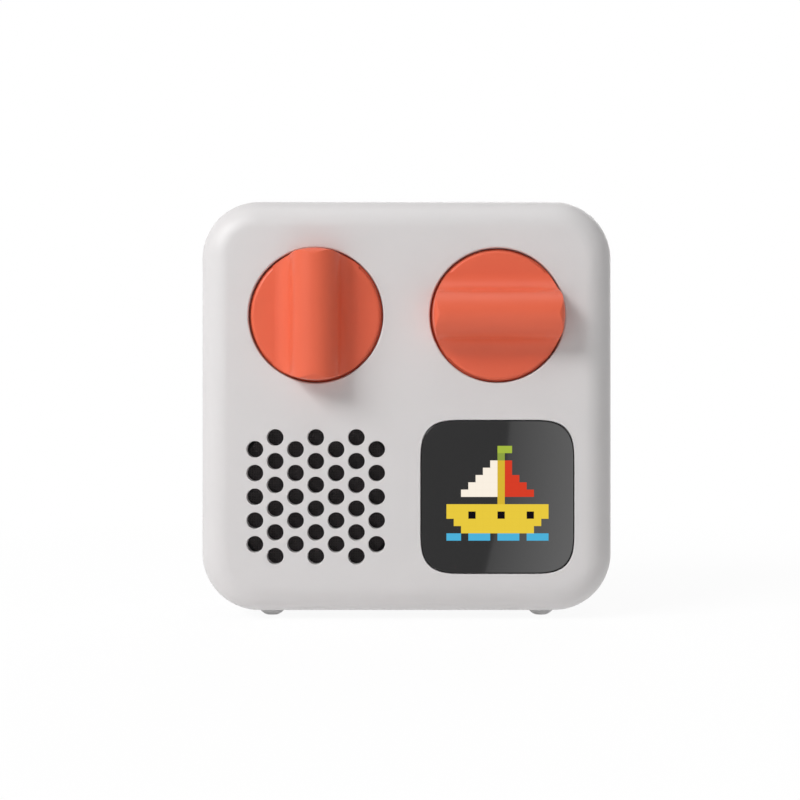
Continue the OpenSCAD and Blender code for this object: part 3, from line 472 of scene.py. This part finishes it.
def metal(name, colour, stain, roughness, scratch, along):
    """Bare or plated metal. Faint lines from rolling or turning run along one axis,
    and a stain dulls it in patches."""
    material, tree, surface, at = new_finish(name, Metallic=1.0)
    cloud = add(tree, "ShaderNodeTexNoise",
                {"Vector": at, "Scale": per_mm(METAL_PATCH), "Detail": 3.0})
    tint = colour_between(tree, cloud.outputs[0], colour, stain)
    stretch = [1.0, 1.0, 1.0]
    stretch["XYZ".index(along)] = LINE_STRETCH
    drawn = add(tree, "ShaderNodeMapping", {"Vector": at, "Scale": stretch})
    lines = add(tree, "ShaderNodeTexNoise", {"Vector": drawn.outputs[0], "Scale": per_mm(scratch),
                                             "Detail": 2.0})
    dull = add(tree, "ShaderNodeMapRange", {0: lines.outputs[0], 1: 0.3, 2: 0.7,
                                            3: roughness - 0.06, 4: roughness + 0.08})
    give(tree, surface, Base_Color=tint, Roughness=dull.outputs[0],
         Normal=bumps(tree, lines.outputs[0], LINE_DEPTH))
    return material


def woven(name, colour, gap_colour, pitch, relief, roughness=0.85):
    """A plain weave of thin threads along X and Z, dark in the gaps between them."""
    material, tree, surface, at = new_finish(name, Roughness=roughness, Specular_IOR_Level=0.3)
    place = add(tree, "ShaderNodeSeparateXYZ", {0: at})
    threads = []
    for axis in ("X", "Z"):
        phase = add(tree, "ShaderNodeMath",
                    {0: place.outputs[axis], 1: 2 * math.pi * per_mm(pitch)}, operation="MULTIPLY")
        wave = add(tree, "ShaderNodeMath", {0: phase.outputs[0]}, operation="SINE")
        threads.append(wave.outputs[0])
    height = add(tree, "ShaderNodeMath", {0: threads[0], 1: threads[1]}, operation="MAXIMUM")
    depth = add(tree, "ShaderNodeMapRange", {0: height.outputs[0], 1: -0.6, 2: 0.6})
    give(tree, surface, Base_Color=colour_between(tree, depth.outputs[0], gap_colour, colour),
         Normal=bumps(tree, depth.outputs[0], relief))
    return material


def solder_mask(name, colour, track_colour):
    """Green lacquer over glass epoxy, with the raised copper tracks that show through it
    as lighter lines."""
    material, tree, surface, at = new_finish(name, Roughness=0.35, Coat_Weight=0.3)
    cells = add(tree, "ShaderNodeTexVoronoi",
                {"Vector": at, "Scale": per_mm(TRACK_SPACING), "Randomness": 0.85},
                distance="MANHATTAN")
    track = add(tree, "ShaderNodeMapRange", {0: cells.outputs["Distance"], 1: 0.42, 2: 0.5})
    give(tree, surface, Base_Color=colour_between(tree, track.outputs[0], colour, track_colour),
         Normal=bumps(tree, track.outputs[0], TRACK_HEIGHT))
    return material


def smoked_acrylic(name):
    """Polished window of smoked acrylic: almost black, with a clear mirror image of the
    studio on it and hardly any dust."""
    material, tree, surface, at = new_finish(name, IOR=1.43, Roughness=0.03)
    haze = add(tree, "ShaderNodeTexNoise",
               {"Vector": at, "Scale": per_mm(ACRYLIC_PATCH), "Detail": 4.0})
    give(tree, surface, Base_Color=colour_between(tree, haze.outputs[0], "080708", "0C0B0C"))
    return material


# A lit dot reaches its full light this far in from its edge, as a share of the pitch,
# and its edge has this share of it.
PIXEL_FADE = 0.12
PIXEL_EDGE_LIGHT = 0.985


def pixel_glow(name, pitch):
    """Light of a colour matrix behind the smoked window. Each dot is an even square that
    fades very slightly towards its edges, and outshines what the window mirrors."""
    material, tree, surface, at = new_finish(name, Roughness=0.2, Specular_IOR_Level=0.0,
                                             Base_Color=linear("0B0A0B"), Emission_Strength=1.0)
    glow = add(tree, "ShaderNodeAttribute", attribute_name="glow", attribute_type="GEOMETRY")
    local = add(tree, "ShaderNodeMapping", {"Vector": at, "Location": -PICTURE_CORNER / mm(pitch),
                                            "Scale": (per_mm(pitch),) * 3})
    place = add(tree, "ShaderNodeSeparateXYZ", {0: local.outputs[0]})
    edge = None
    for axis in ("X", "Z"):
        near = add(tree, "ShaderNodeMath", {0: place.outputs[axis], 1: 0.5}, operation="PINGPONG")
        fade = add(tree, "ShaderNodeMapRange",
                   {0: near.outputs[0], 1: 0.0, 2: PIXEL_FADE, 3: PIXEL_EDGE_LIGHT, 4: 1.0})
        edge = fade.outputs[0] if edge is None else add(
            tree, "ShaderNodeMath", {0: edge, 1: fade.outputs[0]}, operation="MULTIPLY").outputs[0]
    lit = add(tree, "ShaderNodeVectorMath", {0: glow.outputs["Color"]}, operation="SCALE")
    tree.links.new(edge, lit.inputs["Scale"])
    give(tree, surface, Emission_Color=lit.outputs[0])
    return material


# ---- Case ------------------------------------------------------------------------


def dressed_front_shell():
    """The front shell with its bores' and window's rims rounded over, as the mould has
    them."""
    piece = merged_copy("front_shell", "case_front")
    holes = bores(
        "sound holes", Vector((SPEAKER_AT.x, FACE_Y, SPEAKER_AT.z)), ONTO_FACE,
        columns=SOUND_COLUMNS, rows=SOUND_ROWS, stagger=1,
        column_pitch=mm(SOUND_COLUMN_PITCH), hole_pitch=mm(SOUND_HOLE_PITCH),
        radius=mm(SOUND_HOLE_R + OVERCUT), rim=mm(SOUND_HOLE_RIM),
        depth=mm(FACE_WALL + PAST_FACE_WALL), sides=SOUND_HOLE_SIDES,
    )
    wells = bores(
        "knob wells", Vector((0, FACE_Y, KNOB_Z)), ONTO_FACE,
        columns=2, column_pitch=mm(1000 * KNOB_PITCH), radius=mm(KNOB_WELL_R + OVERCUT),
        rim=mm(KNOB_WELL_RIM), depth=mm(KNOB_WELL_DEPTH + OVERCUT), sides=KNOB_SIDES,
    )
    rim = WINDOW_RIM
    opening = WINDOW_W + 2 * (WINDOW_GAP + OVERCUT)
    window = loft(
        "window opening",
        [window_ring(opening, WINDOW_LEDGE + OVERCUT)]
        + [window_ring(opening + 2 * rim * (1 - math.cos(a)), rim * (1 - math.sin(a)))
           for a in arc(RIM_ARC, 4)]
        + [window_ring(opening + 2 * rim, -STAND_OUT)],
    )
    jack_low, jack_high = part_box("headphone_jack")
    jack = bores(
        "headphone hole", Vector((SIDE_X, mm(JACK_HOLE_Y), (jack_low.z + jack_high.z) / 2)),
        ONTO_RIGHT, radius=mm(JACK_HOLE_R + OVERCUT), rim=mm(JACK_HOLE_RIM),
        depth=mm(SIDE_WALL + PAST_SIDE_WALL), sides=SIDE_HOLE_SIDES,
    )
    button_low, button_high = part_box("power_button")
    middle = (button_low + button_high) / 2
    button = bores(
        "button hole", Vector((SIDE_X, middle.y, middle.z)),
        ONTO_RIGHT, radius=mm(POWER_HOLE_R + OVERCUT), rim=mm(POWER_HOLE_RIM),
        depth=mm(SIDE_WALL + PAST_SIDE_WALL), sides=SIDE_HOLE_SIDES,
    )
    combine(piece, "DIFFERENCE", holes, wells, window, jack, button)
    return soften(piece)


# ---- Knobs -----------------------------------------------------------------------

# Outline of a knob's collar, as a loop of (radius, depth) in millimetres.
COLLAR = ((10.6, 1.2), (11.22, 1.2), (11.28, 1.26), (11.28, 2.8), (10.6, 2.8))


def dressed_knob(node):
    """A knob with the collar that closes the gap round it to a hair's breadth, just under
    its rim."""
    piece = merged_copy(node, node + "_dressed")
    low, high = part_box(node)
    collar = lathe("collar", COLLAR, sides=KNOB_SIDES)
    placed(collar, Matrix.Translation(Vector(((low.x + high.x) / 2, FACE_Y, KNOB_Z))))
    return soften(combine(piece, "UNION", collar))


def sprung_dome(node):
    """The steel dome of a push switch, as its own skin."""
    return soften(merged_copy(node, node + "_sprung"))


# ---- Picture window --------------------------------------------------------------

# A sailing boat under a pennant, drawn for this player on the 16 by 16 dots of its
# matrix. Each letter is a colour of PICTURE_COLOURS, and a point is a dark dot.
PICTURE = (
    "................",
    "........gg......",
    "........h.......",
    ".......wor......",
    "......wwor......",
    ".....wwworr.....",
    "....wwwworrr....",
    "...wwwwworrrr...",
    "........o.......",
    ".yyyyyyyyyyyyyy.",
    ".yyykyyykyyykyy.",
    "..yyyyyyyyyyyy..",
    "...yyyyyyyyyy...",
    ".bb.bbb.bbb.bbb.",
    "................",
    "................",
)
PICTURE_COLOURS = {
    "g": "A4B940", "h": "8CA042", "w": "FAF0E1", "o": "D6B432",
    "r": "D63C25", "y": "E8C93D", "k": "0C060E", "b": "4CB1D9",
}


def pixel_tiles_tree():
    """A flat square tile on each point of a mesh, which carries its point's colour."""
    tree, given, result = new_geometry_tree("pixel tiles", {
        "Dots": ("NodeSocketGeometry", None),
        "Pitch": ("NodeSocketFloat", mm(PIXEL_PITCH)),
        "Thickness": ("NodeSocketFloat", mm(PIXEL_T)),
    })
    size = add(tree, "ShaderNodeCombineXYZ", {
        "X": given.outputs["Pitch"], "Y": given.outputs["Thickness"], "Z": given.outputs["Pitch"],
    })
    tile = add(tree, "GeometryNodeMeshCube", {"Size": size.outputs[0]})
    tiles = add(tree, "GeometryNodeInstanceOnPoints",
                {"Points": given.outputs["Dots"], "Instance": tile.outputs["Mesh"]})
    solid = add(tree, "GeometryNodeRealizeInstances", {"Geometry": tiles.outputs[0]})
    painted = add(tree, "GeometryNodeSetMaterial",
                  {"Geometry": solid.outputs[0], "Material": FINISHES["pixels"]})
    tree.links.new(painted.outputs[0], result.inputs[0])
    return tree


def picture():
    """The lit dots of the picture, flush with the front of the window."""
    dots = bpy.data.meshes.new("picture dots")
    lit = [(x, y, PICTURE_COLOURS[letter]) for y, row in enumerate(PICTURE)
           for x, letter in enumerate(row) if letter != "."]
    pitch = mm(PIXEL_PITCH)
    middles = [PICTURE_CORNER + Vector(((x + 0.5) * pitch, mm(PIXEL_T) / 2, -(y + 0.5) * pitch))
               for x, y, code in lit]
    dots.from_pydata(middles, [], [])
    glow = dots.attributes.new("glow", "FLOAT_COLOR", "POINT")
    for k, (x, y, code) in enumerate(lit):
        glow.data[k].color = linear(code)
    return grown("screen_picture", pixel_tiles_tree(), mesh=dots)


def glass():
    """The window, with its front edge rounded over."""
    low, high = LENS_LOW.y - FACE_Y, LENS_HIGH.y - FACE_Y
    front, back, edge = 1000 * low, 1000 * high, WINDOW_EDGE
    return soften(loft(
        "screen_window",
        [window_ring(WINDOW_W, back)]
        + [window_ring(WINDOW_W - 2 * edge * (1 - math.cos(a)), front + edge * (1 - math.sin(a)))
           for a in arc(90, 5)],
    ), angle=40)


# ---- Screws ----------------------------------------------------------------------

# A case screw's outline as (radius, y) in millimetres, with the underside of its head at 0.
SCREW_TIP = ((0, -7.6), (0.3, -7.4))
SCREW_HEAD = ((1.1, -0.02), (1.72, 0.0), (1.8, 0.08), (1.8, 0.5), (1.72, 0.78), (1.5, 1.0),
              (1.1, 1.14), (0.55, 1.19), (0, CASE_SCREW_HEAD))
# Its thread goes down from the top by half a pitch at a time, from root to crest.
THREAD_ROOT_R = 0.62
THREAD_CREST_R = 0.83
THREAD_TOP = -0.3
THREAD_HALF_PITCH = 0.25
THREAD_HALF_TURNS = 28
# Its cross recess narrows downwards: (y, half of the length, half of the width).
SCREW_RECESS = ((1.3, 1.05, 0.24), (0.45, 0.6, 0.17))
# No two screws stop at the same angle. Each is this much further round, in radians.
SCREW_TURN = 1.9


def screw_field_tree():
    """Copies of one screw on the corners of a rectangle."""
    length = "NodeSocketFloat"
    tree, given, result = new_geometry_tree("screw field", {
        "Screw": ("NodeSocketGeometry", None),
        "Width": (length, mm(CASE_SCREW_X)),
        "Height": (length, mm(CASE_SCREW_Z)),
        "Y": (length, 0.0),
        "Z": (length, 0.0),
    })
    corners = add(tree, "GeometryNodeMeshGrid", {
        "Size X": given.outputs["Width"], "Size Y": given.outputs["Height"],
        "Vertices X": 2, "Vertices Y": 2,
    })
    spot = add(tree, "ShaderNodeCombineXYZ", {"Y": given.outputs["Y"], "Z": given.outputs["Z"]})
    upright = add(tree, "GeometryNodeTransform", {
        "Geometry": corners.outputs["Mesh"], "Translation": spot.outputs[0],
        "Rotation": (math.radians(90), 0.0, 0.0),
    })
    index = add(tree, "GeometryNodeInputIndex").outputs[0]
    angle = add(tree, "ShaderNodeMath", {0: index, 1: SCREW_TURN}, operation="MULTIPLY")
    turn = add(tree, "ShaderNodeCombineXYZ", {"Y": angle.outputs[0]})
    screws = add(tree, "GeometryNodeInstanceOnPoints", {
        "Points": upright.outputs[0], "Instance": given.outputs["Screw"],
        "Rotation": turn.outputs[0],
    })
    solid = add(tree, "GeometryNodeRealizeInstances", {"Geometry": screws.outputs[0]})
    painted = add(tree, "GeometryNodeSetMaterial",
                  {"Geometry": solid.outputs[0], "Material": FINISHES["screw"]})
    tree.links.new(painted.outputs[0], result.inputs[0])
    return tree


def case_screws():
    """Four pan-head screws with a cross recess and a thread, seated in the rear cover."""
    thread = [(THREAD_CREST_R if k % 2 else THREAD_ROOT_R, -THREAD_HALF_PITCH * k + THREAD_TOP)
              for k in reversed(range(THREAD_HALF_TURNS))]
    screw = lathe("screw", [*SCREW_TIP, *thread, *SCREW_HEAD], sides=32)
    low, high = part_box("case_screws")
    seat = 1000 * high.y - CASE_SCREW_HEAD
    cutters = []
    for turn in (0, 90):
        blade = loft("recess", [
            [mm(x, y, z) for x, z in ((-w, -t), (w, -t), (w, t), (-w, t))]
            for y, w, t in SCREW_RECESS
        ])
        cutters.append(placed(blade, Matrix.Rotation(math.radians(turn), 4, "Y")))
    combine(screw, "DIFFERENCE", *cutters)
    mesh = screw.data
    bpy.data.objects.remove(screw)
    screws = grown("case_screw_set", screw_field_tree(), mesh=mesh, y=mm(seat), z=MIDDLE_Z)
    return soften(screws, angle=35)


# ---- Dressing --------------------------------------------------------------------

# The picture's dots: their pitch, their thickness and how far they stand out of the
# window, in millimetres. The picture starts at its upper left corner.
PIXEL_PITCH = 1.228
PIXEL_T = 0.05
PIXEL_PROUD = 0.005
HALF_PICTURE = len(PICTURE) / 2 * PIXEL_PITCH
PICTURE_CORNER = Vector((WINDOW_AT.x, LENS_LOW.y - mm(PIXEL_PROUD), WINDOW_AT.z)) + mm(
    -HALF_PICTURE, 0, HALF_PICTURE)

FINISHES = {
    # Matte ABS from an eroded mould: a soft, even light grey with hardly any gloss.
    "shell": moulded("ABS, light grey, fine eroded grain", "D5D2D2", "D1CFCF",
                     0.46, 0.28, 0.004),
    # Satin ABS, coloured through: warm orange with a soft highlight on its curves.
    "knob": moulded("ABS, orange, satin", "E06648", "DD6246", 0.38, 0.22, 0.003, 0.28),
    # Silicone rubber: pale and dull, and grey only in the case's own shade.
    "foot": moulded("silicone rubber, grey, moulded", "EFEEEE", "E8E7E7", 0.6, 0.2, 0.01, 0.4),
    # Smoked acrylic: a black, mirror-smooth pane.
    "glass": smoked_acrylic("acrylic, smoked, polished"),
    # Lit dots: even squares of plain colour that outshine the mirrored studio.
    "pixels": pixel_glow("colour matrix, lit, under acrylic", PIXEL_PITCH),
    # Zinc-plated steel: bright, with the faint rings of the lathe.
    "screw": metal("steel, zinc plated", "C9CCD2", "AEB2B8", 0.3, 0.12, "Y"),
    # Nickel-plated sheet: smooth and a little warm.
    "sheet": metal("steel sheet, nickel plated", "CFCBC2", "BBB7AE", 0.26, 0.15, "X"),
    # Gold on copper alloy: bright yellow, with the fine lines of rolling.
    "gold": metal("copper alloy, gold plated", "E0B45A", "CDA04B", 0.24, 0.1, "X"),
    # Lacquered copper: red-brown, a little dull.
    "copper": metal("copper foil, lacquered", "C98358", "A9663F", 0.34, 0.12, "Z"),
    # Aluminium laminate: cool grey, with a broad soft gloss.
    "foil": metal("aluminium laminate, pressed", "C6C8CB", "B2B5B9", 0.42, 0.5, "Z"),
    # Glass-filled nylon and the like: near black, dull.
    "black": moulded("nylon, black, moulded", "232224", "1C1B1D", 0.5, 0.25, 0.005),
    # White ABS: a little warm, half matte.
    "white": moulded("ABS, white, moulded", "E2E0DB", "DBD8D2", 0.45, 0.25, 0.004),
    # Solder mask: dark green and glossy, with lighter lines where copper lies under it.
    "board": solder_mask("glass epoxy, green solder mask", "16513A", "1F6A49"),
    # Closed-cell foam: black and quite dull, with open pores.
    "foam": moulded("polyurethane foam, black, closed cell", "1A1A1B", "111112",
                    0.95, 0.35, 0.06, 0.2),
    # Acoustic mesh: fine dark threads with black gaps.
    "mesh": woven("polyester mesh, black, woven", "403C3D", "121112", 0.42, 0.05),
    # Pressed paper: charcoal, with the print of the felt that it was pressed on.
    "paper": woven("paper cone, pressed fibre", "2A292B", "1F1E20", 0.7, 0.02),
    # PVC insulation: deep red, smooth, with a soft gloss.
    "wire": moulded("PVC insulation, red", "A3241E", "8E1E19", 0.4, 0.2, 0.002),
}

SLOT_FINISHES = {
    "shell": "shell", "knob": "knob", "foot": "foot", "window": "glass", "dark_plastic": "black",
    "white_plastic": "white", "steel": "sheet", "gold_contact": "gold", "board": "board",
    "foam": "foam", "paper": "paper", "copper": "copper", "cell_foil": "foil", "wire": "wire",
}
for part in frame["record"]["subparts"]:
    mesh = frame["nodes"][part["node"]].data
    mesh.materials.clear()
    mesh.materials.append(FINISHES[SLOT_FINISHES[part["material_slot"]]])
frame["nodes"]["speaker_mesh"].data.materials[0] = FINISHES["mesh"]


def dress(piece, finish, body, slot, *nodes):
    """Gives a piece its finish and its body, and lets it stand for CAD nodes."""
    if finish:
        piece.data.materials.clear()
        piece.data.materials.append(FINISHES[finish])
    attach(piece, body)
    if nodes:
        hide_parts(*nodes)


dress(dressed_front_shell(), "shell", "chassis", "shell", "front_shell")
for side in ("left", "right"):
    dress(dressed_knob(side + "_knob"), "knob", side + "_dial", "knob", side + "_knob")
    dome = sprung_dome(side + "_switch_dome")
    dress(dome, "sheet", "chassis", "steel", side + "_switch_dome")
    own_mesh(dome)
dress(glass(), "glass", "chassis", "window", "window_lens")
dress(picture(), None, "chassis", "window")
dress(case_screws(), None, "chassis", "steel", "case_screws")


# ---- Studio ----------------------------------------------------------------------

PATHS_THAT_SEE_WHITE = ("Is Camera Ray", "Is Glossy Ray", "Is Transmission Ray")
ROOM_LIGHT = 0.01
TABLE_COLOUR = "F8F8F8"
# How strongly the table's top glows: a painted glow, not a lamp, standing in for bounce light on
# the player's underside.
TABLE_BOUNCE_GLOW = 0.11
TABLE_HALF = 4000
TABLE_T = 5
# The table's plain white grows from one share to the other between two distances.
TABLE_WHITE_NEAR, TABLE_WHITE_FAR = 0.92, 1.0
TABLE_NEAR, TABLE_FAR = 50, 220
# The mirrored card is a band of a ring, which grows brighter outwards.
CARD_CENTRE = (-341.5, -600.0, 46.8)
CARD_RADIUS = 402.8
CARD_REACH = 80
CARD_START, CARD_SPAN = -20, 21  # degrees
CARD_STEPS = 24
CARD_GLOW_AT_EDGE, CARD_GLOW_FULL = 1.885, 4.47
CARD_GLOW_REACH = 60
MIDDLE = (0, 0, 36)
LAMPS = (
    # name, place, aim, width, height, power, shows in gloss
    ("soft box, left", (-590, -523, 560), MIDDLE, 500, 350, 7.35, True),
    ("soft box, above", (0, -135, 936), MIDDLE, 700, 700, 2.4, True),
    ("soft box, behind", (250, 900, 350), MIDDLE, 700, 500, 3.0, True),
    ("reflector, right", (850, -200, 450), MIDDLE, 600, 600, 0.75, False),
)


def seen_directly(tree):
    """1 for the rays that show a thing to the camera or in a mirror image, and 0 for
    those that carry its light to the player."""
    path = add(tree, "ShaderNodeLightPath").outputs
    seen = path[PATHS_THAT_SEE_WHITE[0]]
    for kind in PATHS_THAT_SEE_WHITE[1:]:
        either = add(tree, "ShaderNodeMath", {0: seen, 1: path[kind]}, operation="MAXIMUM")
        seen = either.outputs[0]
    return seen


def white_room():
    """A surround that shows as plain white, and lights the player only softly."""
    world = bpy.data.worlds.new("white room")
    scene.world = world
    world.use_nodes = True
    tree = world.node_tree
    tree.nodes.clear()
    light = add(tree, "ShaderNodeBackground", {"Strength": ROOM_LIGHT})
    white = add(tree, "ShaderNodeBackground", {"Color": (1.0, 1.0, 1.0, 1.0), "Strength": 1.0})
    light.inputs["Color"].default_value = (1.0, 1.0, 1.0, 1.0)
    both = add(tree, "ShaderNodeMixShader",
               {0: seen_directly(tree), 1: light.outputs[0], 2: white.outputs[0]})
    add(tree, "ShaderNodeOutputWorld", {"Surface": both.outputs[0]})


def table():
    """A table of white acrylic whose top glows softly: a painted glow, not a lamp, that stands in
    for light bounced onto the player's underside. It shows as plain white, but keeps a faint
    shadow near the player."""
    corners = [(TABLE_HALF * x, TABLE_HALF * y) for x, y in ((-1, -1), (1, -1), (1, 1), (-1, 1))]
    top = loft("table", [[mm(x, y, z) for x, y in corners] for z in (-TABLE_T, 0)])
    material = bpy.data.materials.new("acrylic, white, painted bounce glow")
    material.use_nodes = True
    tree = material.node_tree
    surface = tree.nodes["Principled BSDF"]
    surface.inputs["Base Color"].default_value = linear(TABLE_COLOUR)
    surface.inputs["Roughness"].default_value = 0.8
    surface.inputs["Specular IOR Level"].default_value = 0.2
    surface.inputs["Emission Color"].default_value = linear("FFFFFF")
    # Painted glow: the table gives off light of its own, in place of bounce light.
    surface.inputs["Emission Strength"].default_value = TABLE_BOUNCE_GLOW
    at = add(tree, "ShaderNodeTexCoord").outputs["Object"]
    away = add(tree, "ShaderNodeVectorMath", {0: at}, operation="LENGTH").outputs["Value"]
    plain = add(tree, "ShaderNodeMapRange", {0: away, 1: mm(TABLE_NEAR), 2: mm(TABLE_FAR),
                                             3: TABLE_WHITE_NEAR, 4: TABLE_WHITE_FAR})
    share = add(tree, "ShaderNodeMath", {0: seen_directly(tree), 1: plain.outputs[0]},
                operation="MULTIPLY")
    white = add(tree, "ShaderNodeEmission", {"Strength": 1.0})
    shown = add(tree, "ShaderNodeMixShader",
                {0: share.outputs[0], 1: surface.outputs[0], 2: white.outputs[0]})
    tree.links.new(shown.outputs[0], tree.nodes["Material Output"].inputs["Surface"])
    top.data.materials.append(material)
    top.visible_glossy = False


def mirrored_card():
    """A bright card behind the camera, which only the polished window shows. Its left
    edge is an arc, and it grows brighter away from it."""
    centre = mm(*CARD_CENTRE)
    shape = bmesh.new()
    pairs = []
    for k in range(CARD_STEPS + 1):
        a = math.radians(CARD_START + CARD_SPAN * k / CARD_STEPS)
        pairs.append([
            shape.verts.new(centre + mm(r * math.cos(a), 0, r * math.sin(a)))
            for r in (CARD_RADIUS, CARD_RADIUS + CARD_REACH)
        ])
    for low, high in zip(pairs, pairs[1:]):
        shape.faces.new((low[0], low[1], high[1], high[0]))
    card = piece_of(shape, "mirrored_card")
    material = bpy.data.materials.new("card, white, lit")
    material.use_nodes = True
    tree = material.node_tree
    tree.nodes.clear()
    at = add(tree, "ShaderNodeTexCoord").outputs["Object"]
    away = add(tree, "ShaderNodeVectorMath", {0: at, 1: centre}, operation="DISTANCE")
    bright = add(tree, "ShaderNodeMapRange", {
        0: away.outputs["Value"], 1: mm(CARD_RADIUS), 2: mm(CARD_RADIUS + CARD_GLOW_REACH),
        3: CARD_GLOW_AT_EDGE, 4: CARD_GLOW_FULL,
    })
    glow = add(tree, "ShaderNodeEmission", {"Strength": bright.outputs[0]})
    add(tree, "ShaderNodeOutputMaterial", {"Surface": glow.outputs[0]})
    card.data.materials.append(material)
    card.visible_camera = False
    card.visible_diffuse = False
    card.visible_shadow = False


def lamps():
    """Soft boxes and reflectors round the player."""
    for name, place, aim, width, height, power, in_gloss in LAMPS:
        light = bpy.data.lights.new(name, "AREA")
        light.shape = "RECTANGLE"
        light.size, light.size_y = mm(width), mm(height)
        light.energy = power
        holder = bpy.data.objects.new(name, light)
        scene.collection.objects.link(holder)
        holder.location = mm(*place)
        holder.rotation_euler = (mm(*aim) - mm(*place)).to_track_quat("-Z", "Y").to_euler()
        holder.visible_glossy = in_gloss


white_room()
table()
mirrored_card()
lamps()


# ---- Camera ----------------------------------------------------------------------

CAMERA_AT = (-1.12, -263.0, 37.32)
FOCAL_LENGTH = 66.8
SENSOR_W = 36
camera = bpy.data.cameras.new("camera")
camera.sensor_width = SENSOR_W
camera.lens = FOCAL_LENGTH
camera.clip_start, camera.clip_end = 0.01, 20
viewer = bpy.data.objects.new("camera", camera)
scene.collection.objects.link(viewer)
viewer.location = mm(*CAMERA_AT)
viewer.rotation_euler = (math.radians(90), 0, 0)
scene.camera = viewer
scene.view_settings.view_transform = "Standard"

bpy.context.view_layer.update()
